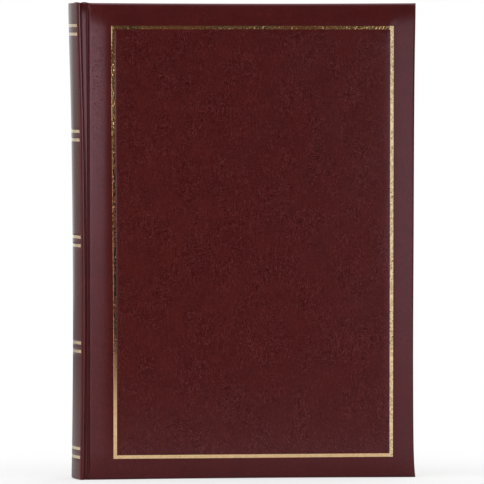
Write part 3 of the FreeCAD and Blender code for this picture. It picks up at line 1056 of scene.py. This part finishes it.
    def face(self, x: np.ndarray, z: np.ndarray, inset: np.ndarray) -> np.ndarray:
        """Distance of the outer face from the album's middle.

        The crown falls away curved at the spine, head and tail, and straight at the fore edge; where two
        falls meet at a corner, they add as powers. From it are taken a quarter ellipse at the edge, the
        folds at the fore edge, slow waves of the foam, and the pressed line with its soft surround.

        Args:
            x: Places along x.
            z: Heights.
            inset: Distance in from the cover's outline.

        Returns:
            Heights of the face.
        """
        low, high = self.box.low, self.box.high
        spine = (1.0 - np.clip((x - low[0]) / self.crown_width, 0.0, 1.0)) ** self.crown_power
        fore = 1.0 - np.clip((high[0] - x) / self.fore_width, 0.0, 1.0)
        end = 1.0 - np.clip(np.minimum(z - low[2], high[2] - z) / self.crown_width, 0.0, 1.0)
        across, along = np.maximum(spine, fore), end**self.crown_power
        fall = (across**self.corner_power + along**self.corner_power) ** (1.0 / self.corner_power)
        level = self.outer_face - self.crown * fall
        level = level - round_drop(inset, self.shoulder) * self.shoulder_drop / self.shoulder
        level = level - self.folds(high[0] - x, z - low[2], high[2] - z)
        level = level - self.wave * rise(inset, *self.wave_span) * self.waves(x, z)
        return level - self.pressed(inset)

    def waves(self, x: np.ndarray, z: np.ndarray) -> np.ndarray:
        """Slow waves of the foam: 1, plus a product of sines of x and z, plus a weaker slanting sine.

        Args:
            x: Places along x.
            z: Heights.

        Returns:
            Depths in waves.
        """
        across, along, slant_across, slant_along = self.wave_lengths
        broad = np.sin(x / across + 0.7) * np.sin(z / along + 1.9)
        return 1.0 + broad + 0.6 * np.sin(x / slant_across - z / slant_along)

    def pressed(self, inset: np.ndarray) -> np.ndarray:
        """Depth of the stamped line, between smooth steps, and of the foam beside it; the back has neither.

        Args:
            inset: Distance in from the cover's outline.

        Returns:
            Depths below the crowned face.
        """
        if self.side is Side.BACK:
            return np.zeros_like(inset)
        start, end = self.line_start, self.line_end
        away = np.abs(inset - (start + end) / 2.0)
        soft = self.press * np.exp(-np.clip(away - (end - start) / 2.0, 0.0, None) / self.press_reach)
        inside = rise(inset, start, start + self.line_edge) - rise(inset, end, end + self.line_edge)
        return soft + self.line_depth * inside

    @property
    def line_insets(self) -> np.ndarray:
        """Insets across the stamped line, closer together towards its edges."""
        return spread(self.line_start, self.line_end, self.line_steps, ends=0.8)

    def folds(self, fore: np.ndarray, tail: np.ndarray, head: np.ndarray) -> np.ndarray:
        """Depth of the folds along the fore edge, where the leatherette is tucked in at the corners.

        Two of them fade away from both corners, and the outermost is long and starts near the head.

        Args:
            fore: Distance from the fore edge.
            tail: Distance from the tail.
            head: Distance from the head.

        Returns:
            Depths below the crowned face.
        """
        corner = np.minimum(tail, head)
        tuck = self.tuck.across(fore) * np.exp(-corner / self.tuck.reach)
        pleat = self.pleat.across(fore) * np.exp(-corner / self.pleat.reach)
        along = np.exp(-((head / self.long_fold.reach) ** 2)) * rise(head, *self.long_fold_start)
        return tuck + self.long_fold.across(fore) * along + pleat

    def crowned(self, insets: np.ndarray) -> tuple[np.ndarray, np.ndarray, np.ndarray]:
        """Rings of the outer face, before its edges are drawn in.

        Args:
            insets: Insets of the rings.

        Returns:
            Arrays of x, of the face's height and of z, with a row for each ring.
        """
        x, z = self.ring(insets)
        inset = np.broadcast_to(insets[:, None], x.shape)
        x, z = self.askew(x, z, inset)
        return x, self.face(x, z, inset), z

    def under(self) -> np.ndarray:
        """Rings of the inner face: board, turned-in margin, and the quarter circle round its edge.

        Returns:
            Grid of points, from the middle of the face to the edge.
        """
        turn = np.linspace(0.0, np.pi / 2.0, self.round_steps)
        board = [(self.half_width, self.board_face), (self.turn_in, self.board_face)]
        margin = [(self.turn_in, self.inner_face)]
        rounding = np.stack([1.0 - np.sin(turn), 1.0 - np.cos(turn)], axis=-1) * self.edge_round
        profile = np.vstack([board, margin, rounding + (0.0, self.inner_face)])
        x, z = self.drawn_in(*self.ring(profile[:, 0], widened=False))
        return points_of(x, profile[:, 1:], z)

    def surface(self) -> Surface:
        """The closed skin, ring by ring from the middle of the inner face to the middle of the outer one.

        Returns:
            The surface.
        """
        middle = self.half_width - self.line_shift
        # Rings lie close together at the rolled edge and beside the line, and wider apart on the panel.
        edge = np.concatenate([[0.0, 0.06], 0.2 + 0.25 * np.arange(20), np.arange(5.5, 13.5, 0.5)])
        line = np.concatenate([[self.line_start - 0.25], self.line_insets, [self.line_end + 0.3]])
        inner = np.arange(25.0, middle - 2.0, 5.0)
        panel = np.concatenate([[16.9, 17.5, 18.5, 20.0, 22.0], inner, [middle]])
        x, level, z = self.crowned(np.concatenate([edge, line, panel]))
        x, z = self.drawn_in(x, z)
        points = np.concatenate([self.under(), points_of(x, level, z)], axis=0)
        points[..., 1] *= self.side.value
        return Surface.grid(points, ring=True)

    def build(self) -> list[bpy.types.Object]:
        """Makes the skin on its cover, where it stands for the construction's leatherette and foam.

        Returns:
            The skin.
        """
        nodes = [self.side.node("leatherette"), self.side.node("padding")]
        skin = self.piece(self.surface(), self.side.node("cover_skin"), LEATHERETTE, "leatherette", *nodes)
        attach(skin, self.side.body)
        return [skin]


@dataclass
class GoldFrame(SubAssembly):
    """The gold line stamped as a frame on the front cover: a band a hair thick that lies in the pressed
    line.
    """

    cover: CoverSkin
    stand: float = 0.015
    sunk: float = 0.08

    def surface(self) -> Surface:
        """A closed band: the pressed face raised by a hair, and the same face sunk into the skin.

        Returns:
            The surface.
        """
        x, level, z = self.cover.crowned(self.cover.line_insets)
        top = points_of(x, level + self.stand, z)
        under = points_of(x, level - self.sunk, z)
        loop = np.concatenate([top, under[::-1], top[:1]], axis=0)
        loop[..., 1] *= self.cover.side.value
        return Surface.grid(loop, ring=True)

    def build(self) -> list[bpy.types.Object]:
        """Makes the gold line on the front cover.

        Returns:
            The line.
        """
        node = self.cover.side.node("gold_frame")
        line = self.piece(self.surface(), "gold_frame_line", FRAME_FOIL, "foil", node, crease=FOIL_CREASE)
        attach(line, self.cover.side.body)
        return [line]


@dataclass
class SpineForm:
    """The rounded spine: arcs about one upright axis, which lean a little over the height."""

    radius: float = 80.0
    bow: float = 1.5
    bow_height: float = 110.0
    head_lean: float = 2.3
    head_power: float = 1.5
    tail_lean: float = 1.0
    edge_flat: float = 0.5
    head_flat: float = 0.9
    flat_from: float = 0.7

    def __post_init__(self) -> None:
        """Reads the spine's place from its construction part."""
        box = Box.of("spine_leatherette")
        self.height = box.high[2]
        self.half_width = box.high[1]
        self.axis = box.low[0] + self.radius

    def lean(self, z: np.ndarray) -> np.ndarray:
        """Shift along x: furthest in at the bow's height, and less by powers towards head and tail.

        Args:
            z: Heights.

        Returns:
            Shifts.
        """
        above = np.clip((z - self.bow_height) / (self.height - self.bow_height), 0.0, None)
        below = np.clip((self.bow_height - z) / self.bow_height, 0.0, None)
        return self.bow - self.head_lean * above**self.head_power - self.tail_lean * below**2

    def flat(self, z: np.ndarray) -> np.ndarray:
        """Shift of the spine's long edges away from the covers, which grows smoothly towards the head."""
        return self.edge_flat + self.head_flat * rise(z, self.flat_from * self.height, self.height)

    def place(self, radius: np.ndarray, y: np.ndarray, z: np.ndarray) -> np.ndarray:
        """Points on arcs: x is the axis less the root of radius squared less y squared, moved by the lean.

        The square of y also takes the flattening, so that the arc opens towards the head.

        Args:
            radius: Radii of the arcs.
            y: Places across the spine.
            z: Heights.

        Returns:
            Points, with the arrays' common shape.
        """
        radius, y, z = np.broadcast_arrays(radius, y, z)
        shift = self.lean(z) - self.flat(z) * (y / self.half_width) ** 2
        return np.stack([self.axis - np.sqrt(radius**2 - y**2) + shift, y, z], axis=-1)


@dataclass
class Spine(SubAssembly):
    """The spine's card, its leatherette and the gold lines across it."""

    form: SpineForm
    skin: float = 0.5
    depth: float = 2.0
    flat_width: float = 42.0
    rim: float = 0.95
    long_rim: float = 0.30
    long_edge: float = 1.3
    cap_rim: float = 0.10
    lip: float = 2.0
    turn_in: float = 15.0
    card: float = 1.2
    card_inset: float = 0.6
    card_gap: float = 0.02
    first_pair: float = 17.2
    pair_step: float = 67.65
    pairs: int = 5
    line_gap: float = 5.5
    line_width: float = 1.9
    line_half: float = 17.9
    line_end: float = 19.0
    line_soft: float = 0.5
    line_press: float = 0.10
    line_stand: float = 0.02
    line_sunk: float = 0.1
    edge_places: tuple[float, ...] = (0.0, 0.04, 0.12, 0.24, 0.42, 0.65, 0.95, 1.4)

    @property
    def line_heights(self) -> np.ndarray:
        """Middle heights of the gold lines, two to a pair."""
        pairs = self.first_pair + self.pair_step * np.arange(self.pairs)
        return (pairs[:, None] + self.line_gap * np.array([-0.5, 0.5])).ravel()

    def rolled(self, y: np.ndarray, z: np.ndarray) -> np.ndarray:
        """Drop at the edges: a wide quarter ellipse at the long ones, a quarter circle at head and tail.

        Args:
            y: Places across the spine.
            z: Heights.

        Returns:
            Depths below the arc.
        """
        side = round_drop(self.form.half_width - np.abs(y), self.long_edge)
        end = round_drop(np.minimum(z, self.form.height - z), self.rim)
        return np.maximum(side * self.long_rim / self.long_edge, end)

    def pressed(self, y: np.ndarray, z: np.ndarray) -> np.ndarray:
        """Depth of the stamped lines: smooth steps about each line's middle height.

        Args:
            y: Places across the spine.
            z: Heights.

        Returns:
            Depths below the arc.
        """
        half = self.line_width / 2.0
        near = np.min(np.abs(z[..., None] - self.line_heights), axis=-1)
        inside = 1.0 - rise(near, half, half + self.line_soft)
        return self.line_press * inside * (1.0 - rise(np.abs(y), self.line_half, self.line_end))

    def skin_grid(self) -> tuple[np.ndarray, np.ndarray]:
        """Places of the skin's points, close together at the edges, at the lips and beside the gold lines.

        Returns:
            A row of places across the spine and a column of heights.
        """
        form = self.form
        lips = [self.lip - 0.01, self.lip + 0.01]
        side = np.concatenate([[0.0], self.edge_places, lips, np.linspace(2.6, form.half_width, 22)])
        y = np.concatenate([side, 2.0 * form.half_width - side[-2::-1]]) - form.half_width
        half = self.line_width / 2.0
        beside = np.array([-half - 0.5, -half - 0.2, -half, 0.0, half, half + 0.2, half + 0.5])
        lines = (self.line_heights[:, None] + beside).ravel()
        ends = np.concatenate([self.edge_places, [self.turn_in - 0.02, self.turn_in + 0.02]])
        z = np.concatenate([ends, form.height - ends, lines, np.linspace(3.0, form.height - 3.0, 80)])
        return y[None, :], np.unique(np.round(z, 4))[:, None]

    def skin_surface(self) -> Surface:
        """Leatherette as a sheet round the card: an outer arc, an inner one, and rounded rims.

        Where the sheet is turned in, at head and tail and at the long edges, the inner arc lies deeper.

        Returns:
            The surface.
        """
        form = self.form
        y, z = self.skin_grid()
        roll = self.rolled(y, z)
        turned_in = np.minimum(z, form.height - z) < self.turn_in
        wrapped = turned_in | (form.half_width - np.abs(y) < self.lip)
        outer = form.radius - roll - self.pressed(*np.broadcast_arrays(y, z))
        outer[:, [0, -1]] -= self.cap_rim
        inner = np.where(wrapped, form.radius - self.depth, form.radius - self.skin) + roll
        return Surface.shell(form.place(outer, y, z), form.place(inner, y, z))

    def card_surface(self) -> Surface:
        """Stiff card behind the leatherette: the sheet between two arcs.

        Returns:
            The surface.
        """
        form = self.form
        y = np.linspace(-form.half_width + self.card_inset, form.half_width - self.card_inset, 33)[None, :]
        z = spread(self.card_inset, form.height - self.card_inset, 60)[:, None]
        outer = form.radius - self.skin - self.card_gap
        return Surface.shell(form.place(outer, y, z), form.place(outer - self.card, y, z))

    def line_surface(self) -> Surface:
        """Gold lines: sheets a hair thick that follow the pressed arcs.

        Returns:
            The surface of all lines.
        """
        form = self.form
        y = np.linspace(-self.line_half, self.line_half, 49)[None, None, :]
        across = np.linspace(-0.5, 0.5, 5) * self.line_width
        z = (self.line_heights[:, None] + across)[..., None]
        level = form.radius - self.line_press - self.rolled(y, z)
        lifts = (self.line_stand, -self.line_sunk)
        return Surface.shell(*(form.place(level + lift, y, z) for lift in lifts))

    def build(self) -> list[bpy.types.Object]:
        """Makes the card, the leatherette and the gold lines.

        Returns:
            The three pieces.
        """
        card = self.piece(self.card_surface(), "spine_card", BOARD, "board", "spine_board")
        skin = self.piece(
            self.skin_surface(), "spine_skin", LEATHERETTE, "leatherette", "spine_leatherette"
        )
        bands = self.line_surface()
        node = "spine_gold_bands"
        lines = self.piece(bands, "spine_gold_lines", SPINE_FOIL, "foil", node, crease=FOIL_CREASE)
        for piece in (card, skin, lines):
            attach(piece, "spine")
        return [card, skin, lines]


@dataclass
class Joint(SubAssembly):
    """The grooved leatherette between the spine and a cover, which bends when the cover opens."""

    side: Side
    form: SpineForm
    thickness: float = 0.6
    width: float = 4.6
    bend_level: float = 18.5
    bead_start: float = 0.2
    head_dip: float = 1.6
    dip_reach: float = 2.0
    head_rise: float = 0.6
    rise_reach: float = 12.0
    head_swell: float = 0.30
    swell_place: float = 0.15
    swell_width: float = 0.35
    swell_reach: float = 24.0
    swell_start: float = 3.0
    rim: float = 0.25
    end_places: tuple[float, ...] = (0.0, 0.05, 0.12, 0.25, 0.5, 0.9, 1.4, 2.0, 2.8, 3.8, 5.0, 7.0)
    profile: tuple[Span, ...] = (
        (-1.20, 18.80), (-0.75, 18.98), (-0.45, 19.20), (-0.20, 19.40), (0.05, 19.57),
        (0.20, 19.62), (0.34, 19.48), (0.54, 19.00), (0.80, 18.42), (1.08, 18.00),
        (1.40, 17.82), (1.75, 17.94), (2.12, 18.12), (2.50, 18.29), (2.80, 18.36),
        (3.05, 18.24), (3.35, 17.90), (3.60, 17.72), (4.00, 17.66), (4.90, 17.66),
    )

    def level(self, across: np.ndarray, z: np.ndarray, sag: np.ndarray) -> np.ndarray:
        """Distance of the outer face from the album's middle.

        The grooved profile dips where it is turned in at head and tail, by an exponential of the distance
        from the end, and its first bead swells towards the head, by a bell across it.

        Args:
            across: Places across the joint.
            z: Heights.
            sag: Share of the dip across the joint.

        Returns:
            Heights of the face.
        """
        near = np.minimum(z, self.form.height - z)
        dip = self.head_dip * sag * np.exp(-near / self.dip_reach)
        bell = np.exp(-(((across - self.swell_place) / self.swell_width) ** 2))
        swell = bell * np.exp((z - self.form.height) / self.swell_reach)
        base = smooth_curve(self.profile, across) - dip
        return base + self.head_swell * swell * rise(near, 0.0, self.swell_start)

    def surface(self) -> Surface:
        """A sheet whose grooved profile follows the spine's lean and rises a little at the head.

        Returns:
            The surface.
        """
        form = self.form
        start = Box.of(self.side.node("joint")).low[0]
        across = np.linspace(self.profile[0][0], self.profile[-1][0], 82)[None, :]
        ends = np.array(self.end_places)
        z = np.concatenate([ends, form.height - ends, np.linspace(10.0, form.height - 10.0, 70)])
        z = np.unique(z)[:, None]
        x = start + across + (form.lean(z) - form.flat(z)) * (1.0 - rise(across, 0.0, self.width))
        inside = np.clip((across - self.bead_start) / (self.width - self.bead_start), 0.0, 1.0)
        sag = np.sin(np.pi * inside) ** 2
        level = self.level(across, z, sag)
        roll = round_drop(np.minimum(z, form.height - z), self.rim)
        raised = z + self.head_rise * sag * rise(z, form.height - self.rise_reach, form.height)
        outer = points_of(x, (level - roll) * self.side.value, raised)
        inner = points_of(x, (level - self.thickness + roll) * self.side.value, raised)
        return Surface.shell(outer, inner)

    def build(self) -> list[bpy.types.Object]:
        """Makes the joint.

        Returns:
            The joint.
        """
        node = self.side.node("joint")
        skin = self.piece(self.surface(), self.side.node("joint_skin"), LEATHERETTE, "leatherette", node)
        box = Box.of(node)
        self.side.body
        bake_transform(skin)
        return [skin]


@dataclass
class EndpaperHinge(SubAssembly):
    """The endpaper's strip between the guards and a cover's lining, which bends when the cover opens."""

    side: Side
    bend_inset: float = 1.0

    def build(self) -> list[bpy.types.Object]:
        """Makes the strip as a flat sheet with close steps where it bends.

        Returns:
            The strip.
        """
        box, joint = Box.of("endpaper_hinges"), Box.of(self.side.node("joint"))
        near, far = Box.of("guard_stubs").high[1], box.high[1]
        bend_start, bend_end = joint.low[0] + self.bend_inset, joint.high[0]
        bending = np.linspace(box.low[0], bend_end, 30)
        x = np.concatenate([bending, np.linspace(bend_end + 0.5, box.high[0], 8)])[None, :]
        z = spread(box.low[2], box.high[2], 20)[:, None]
        strip = Surface.shell(*(points_of(x, self.side.value * y, z) for y in (far, near)))
        name = self.side.node("endpaper_hinge")
        piece = self.piece(strip, name, ENDPAPER, "endpaper", "endpaper_hinges")
        self.side.body
        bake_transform(piece)
        rests_on = ["guard_stubs", self.side.node("pastedown")]
        box.flat(0)
        return [piece]


@dataclass
class LeafHinges(SubAssembly):
    """Linen strips on both faces of each leaf and its stub, and the linen over the back of the guards."""

    linen: float = 0.15
    stand: float = 0.25
    bend: float = 1.0
    pinch: float = 0.9
    ripple: float = 0.04
    pitch: float = 1.75

    def strips(self, leaf: str) -> bpy.types.Object:
        """Makes the pair of strips of one leaf.

        Each strip lies on a face of the card. In the bare gap between stub and leaf the two come together
        by a bell, the square of 1 less the square of the distance from the fold over the half gap.

        Args:
            leaf: Name of the leaf.

        Returns:
            The piece.
        """
        box, card = Box.of("linen_hinges"), Box.of(leaf)
        fold = (Box.of("guard_stubs").high[0] + card.low[0]) / 2.0
        bend_start, bend_end = fold - self.bend, fold + self.bend
        x = np.concatenate([
            np.linspace(box.low[0], bend_start, 5),
            np.linspace(bend_start, bend_end, 17)[1:-1],
            np.linspace(bend_end, box.high[0], 5),
        ])[None, :]
        z = spread(box.low[2], box.high[2], 12)[:, None]
        bell = np.clip(1.0 - ((x - fold) / self.bend) ** 2, 0.0, None) ** 2
        inside = self.stand * (1.0 - self.pinch * bell)
        outside = inside + self.linen
        levels = card.middle[1] + np.array([[outside, inside], [-inside, -outside]])
        pair = points_of(x, levels, z)
        name = f"linen_hinge_{leaf[-2:]}"
        piece = self.piece(Surface.shell(pair[:, 0], pair[:, 1]), name, LINEN, "linen", "linen_hinges")
        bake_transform(piece)
        width, height = box.flat(0)
        return piece

    def back(self) -> bpy.types.Object:
        """Makes the linen glued over the back of the guards, which ripples by a cosine over their edges.

        Returns:
            The sheet.
        """
        box = Box.of("spine_linen")
        y = np.linspace(box.low[1], box.high[1], 129)[None, :]
        z = spread(box.low[2], box.high[2], 30)[:, None]
        ripple = self.ripple * np.cos(2.0 * np.pi * y / self.pitch) + self.ripple
        sheet = Surface.shell(points_of(box.low[0] + ripple, y, z), points_of(box.high[0], y, z))
        piece = self.piece(sheet, "spine_linen_sheet", LINEN, "linen", "spine_linen")
        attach(piece, "spine")
        box.flat(1)
        return piece

    def build(self) -> list[bpy.types.Object]:
        """Makes the strips of every leaf and the linen over the guards."""
        return [self.strips(leaf_name(number)) for number in range(1, LEAVES + 1)] + [self.back()]


@dataclass
class Headbands(SubAssembly):
    """Beads of wound silk at head and tail of the guards, each on its cloth tongue."""

    bead: float = 1.2
    thread: float = 0.8
    relief: float = 0.1
    tongue: float = 0.4
    tongue_gap: float = 0.05
    linen_gap: float = 1.0

    def bead_surface(self, x: float, z: float, half: float) -> Surface:
        """A tube along y whose radius swells with each turn of thread and closes at the ends.

        Args:
            x: Place of the tube's middle line.
            z: Height of the tube's middle line.
            half: Half of its length.

        Returns:
            The closed tube.
        """
        y = np.concatenate([[-half], np.linspace(-half, half, 211), [half]])[:, None]
        angle = np.linspace(0.0, 2.0 * np.pi, 20, endpoint=False)[None, :]
        wave = np.abs(np.sin(np.pi * y / self.thread + angle / 2.0))
        radius = self.bead - self.relief + self.relief * wave
        radius[[0, -1]] = 0.0
        points = points_of(x + radius * np.cos(angle), y, z + radius * np.sin(angle))
        return Surface.grid(points, ring=True)

    def band_surface(self, box: Box, middle: float, foot: float) -> Surface:
        """One headband: its bead, and the tongue from the bead's middle to its foot.

        Args:
            box: Box of both headbands.
            middle: Height of the bead.
            foot: Height at which the tongue ends.

        Returns:
            The surface.
        """
        half = box.high[1]
        y = np.linspace(-half, half, 29)[None, :]
        z = np.linspace(middle, foot, 8)[:, None]
        places = (box.low[0] + self.tongue_gap, box.low[0] + self.tongue)
        tongue = Surface.shell(*(points_of(x, y, z) for x in places))
        return self.bead_surface(box.middle[0], middle, half).joined(tongue)

    def build(self) -> list[bpy.types.Object]:
        """Makes both headbands as one piece.

        Returns:
            The piece.
        """
        box, linen = Box.of("headbands"), Box.of("spine_linen")
        tail = self.band_surface(box, box.low[2] + self.bead, linen.low[2] - self.linen_gap)
        head = self.band_surface(box, box.high[2] - self.bead, linen.high[2] + self.linen_gap)
        piece = self.piece(tail.joined(head), "silk_headbands", BAND_SILK, "headband", "headbands")
        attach(piece, "spine")
        return [piece]


@dataclass
class Construction(SubAssembly):
    """Construction parts whose shape is right as it is, each with its finish."""

    interleaved: int = 2

    def build(self) -> list[bpy.types.Object]:
        """Dresses boards, linings, guards, leaves, strips, and the interleaves of every second leaf.

        Returns:
            The dressed parts.
        """
        dressed: dict[str, Finish] = {"guard_stubs": LEAF_CARD, "guard_spacers": LEAF_CARD}
        for side in Side:
            dressed[side.node("board")] = BOARD
            dressed[side.node("pastedown")] = ENDPAPER
        for number in range(1, LEAVES + 1):
            leaf = leaf_name(number)
            dressed[leaf] = LEAF_CARD
            dressed[f"{leaf}_strips"] = FILM
            if number % self.interleaved == 0:
                dressed[f"{leaf}_interleaves"] = GLASSINE
        for name, finish in dressed.items():
            finish.lay(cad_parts[name])
        return [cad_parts[name] for name in dressed]


def hang(
    data: bpy.types.ID, aim: Vector, azimuth: float, elevation: float, distance: float
) -> bpy.types.Object:
    """Puts a lamp or a camera round a point, facing it.

    Args:
        data: The lamp or the camera.
        aim: Point that it faces.
        azimuth: Degrees round the point, from straight in front of the album towards its fore edge.
        elevation: Degrees above the point.
        distance: Distance from the point.

    Returns:
        The object, with the data's name.
    """
    turn, lift = math.radians(azimuth), math.radians(elevation)
    away = Vector((math.sin(turn) * math.cos(lift), -math.cos(turn) * math.cos(lift), math.sin(lift)))
    hung = bpy.data.objects.new(data.name, data)
    hung.location = aim + away * distance
    hung.rotation_euler = (-away).to_track_quat("-Z", "Y").to_euler()
    bpy.context.scene.collection.objects.link(hung)
    return hung


@dataclass(frozen=True)
class Softbox:
    """A diffuse lamp that faces the album: its place, its size, and its brightness, 1 for white."""

    name: str
    azimuth: float
    elevation: float
    distance: float
    width: float
    height: float
    brightness: float

    def build(self, aim: Vector) -> None:
        """Hangs the lamp, with power for its brightness: pi times the area times the brightness.

        Args:
            aim: Point that the lamp faces.
        """
        lamp = bpy.data.lights.new(self.name, "AREA")
        lamp.shape = "RECTANGLE"
        lamp.size, lamp.size_y = self.width, self.height
        lamp.energy = math.pi * self.width * self.height * self.brightness
        hang(lamp, aim, self.azimuth, self.elevation, self.distance)


@dataclass
class Studio:
    """Camera, lamps, pale floor and white surround; lengths are in metres."""

    azimuth: float = -9.2
    elevation: float = 1.36
    distance: float = 5.5
    lens: float = 636.0
    sensor: float = 36.0
    clip: Span = (0.1, 100.0)
    aim: tuple[float, float, float] = (0.0, 0.0, 0.1514)
    floor_side: float = 3.5
    floor_front: float = -0.55
    floor_back: float = 3.5
    floor_pale: Colour = (0.86, 0.86, 0.86, 1.0)
    floor_dim: Colour = (0.36, 0.36, 0.36, 1.0)
    floor_glow: float = 0.96
    floor_share: float = 0.6
    behind: Span = (-0.02, 0.05)
    mirror_dim: float = 0.5
    plain_from: Span = (0.13, 0.42)
    dim_glow: float = 0.07
    side_glow: float = 0.24
    high_glow: float = 0.13
    mirror_white: float = 0.7
    pale_back: Span = (-0.15, 0.35)
    pale_side: Span = (-0.2, 0.45)
    pale_high: Span = (0.10, 0.36)
    straight_back: Span = (0.980, 0.999)
    lamps: tuple[Softbox, ...] = (
        Softbox("left_strip", -34.0, 3.4, 1.7, 2.0, 0.20, 3.8),
        Softbox("left_wide", -34.0, 0.0, 1.7, 2.0, 0.44, 0.9),
        Softbox("right_strip", 37.0, 1.4, 1.7, 1.31, 0.42, 1.9),
        Softbox("left_side", -80.0, 15.0, 1.7, 0.8, 1.4, 5.0),
        Softbox("high_front", 10.0, 70.0, 2.4, 2.2, 1.6, 2.9),
        Softbox("high_rear", 150.0, 60.0, 2.4, 2.0, 1.8, 2.5),
    )

    def camera(self) -> None:
        """Stands the camera at the photograph's angle."""
        data = bpy.data.cameras.new("album_camera")
        data.lens, data.sensor_width = self.lens, self.sensor
        data.clip_start, data.clip_end = self.clip
        stood = hang(data, Vector(self.aim), self.azimuth, self.elevation, self.distance)
        bpy.context.scene.camera = stood

    def floor(self) -> None:
        """Lays a pale floor that shows white to the camera, apart from the album's shadow.

        Behind the album, and in part in mirrored rays, it is dim. Away from the album it is plain white.
        """
        across = np.linspace(-self.floor_side, self.floor_side, 3)[None, :] / MM
        along = np.linspace(self.floor_front, self.floor_back, 3)[:, None] / MM
        laid = Surface.grid(points_of(across, along, 0.0)).to_object("studio_floor")
        paint = bpy.data.materials.new("pale_floor")
        paint.use_nodes = True
        graph = Graph(paint.node_tree)
        seen = graph.node("ShaderNodeLightPath", output="Is Camera Ray")
        place = graph.node("ShaderNodeTexCoord", output="Object")
        away = graph.node("ShaderNodeVectorMath", {"operation": "LENGTH"}, {0: place}, output="Value")
        _, y, _ = graph.axes(place)
        shaded = (1.0 - seen) * y.step(*self.behind) + seen.sibling("Is Glossy Ray") * self.mirror_dim
        pale = graph.node("ShaderNodeBsdfDiffuse", inputs={"Color": self.floor_pale})
        dim = graph.node("ShaderNodeBsdfDiffuse", inputs={"Color": self.floor_dim})
        glow = graph.node("ShaderNodeEmission", inputs={"Color": WHITE, "Strength": self.floor_glow})
        plain = graph.node("ShaderNodeEmission", inputs={"Color": WHITE, "Strength": 1.0})
        matt = graph.blend(shaded.clamped(), pale, dim)
        near = graph.blend(seen * self.floor_share, matt, glow)
        mixed = graph.blend(seen * away.step(*self.plain_from), near, plain)
        graph.node("ShaderNodeOutputMaterial", inputs={"Surface": mixed})
        laid.data.materials.append(paint)

    def surround(self) -> None:
        """White to the camera; to the album, dim in front, and paler high up and behind its spine side.

        Mirrored rays that go straight back see most of the white as well.
        """
        world = bpy.data.worlds.new("studio_surround")
        world.use_nodes = True
        bpy.context.scene.world = world
        graph = Graph(world.node_tree)
        x, y, z = graph.axes(graph.node("ShaderNodeTexCoord", output="Generated"))
        pale = y.step(*self.pale_back) * (1.0 - x.step(*self.pale_side))
        high = z.step(*self.pale_high)
        path = graph.node("ShaderNodeLightPath", output="Is Camera Ray")
        glossy, through = (path.sibling(name) for name in ("Is Glossy Ray", "Is Transmission Ray"))
        seen = (path + through + glossy * y.step(*self.straight_back) * self.mirror_white).clamped()
        unseen = self.dim_glow + pale * self.side_glow + high * self.high_glow
        inputs = {"Color": WHITE, "Strength": unseen * (1.0 - seen) + seen}
        shader = graph.node("ShaderNodeBackground", inputs=inputs)
        graph.node("ShaderNodeOutputWorld", inputs={"Surface": shader})

    def build(self) -> None:
        """Sets the whole studio."""
        bpy.context.scene.view_settings.view_transform = "Standard"
        self.camera()
        self.floor()
        self.surround()
        for lamp in self.lamps:
            lamp.build(Vector(self.aim))


def main() -> None:
    """Builds the album's sub-assemblies, reports each piece and sets the studio."""
    logging.basicConfig(level=logging.INFO, format="%(message)s")
    form = SpineForm()
    front = CoverSkin(Side.FRONT)
    parts: list[SubAssembly] = [
        front,
        CoverSkin(Side.BACK),
        GoldFrame(front),
        Spine(form),
        *(Joint(side, form) for side in Side),
        *(EndpaperHinge(side) for side in Side),
        LeafHinges(),
        Headbands(),
        Construction(),
    ]
    for part in parts:
        for piece in part.build():
            LOG.info("%s: %s, %d faces", type(part).__name__, piece.name, len(piece.data.polygons))
    Studio().build()


if __name__ == "__main__":
    main()
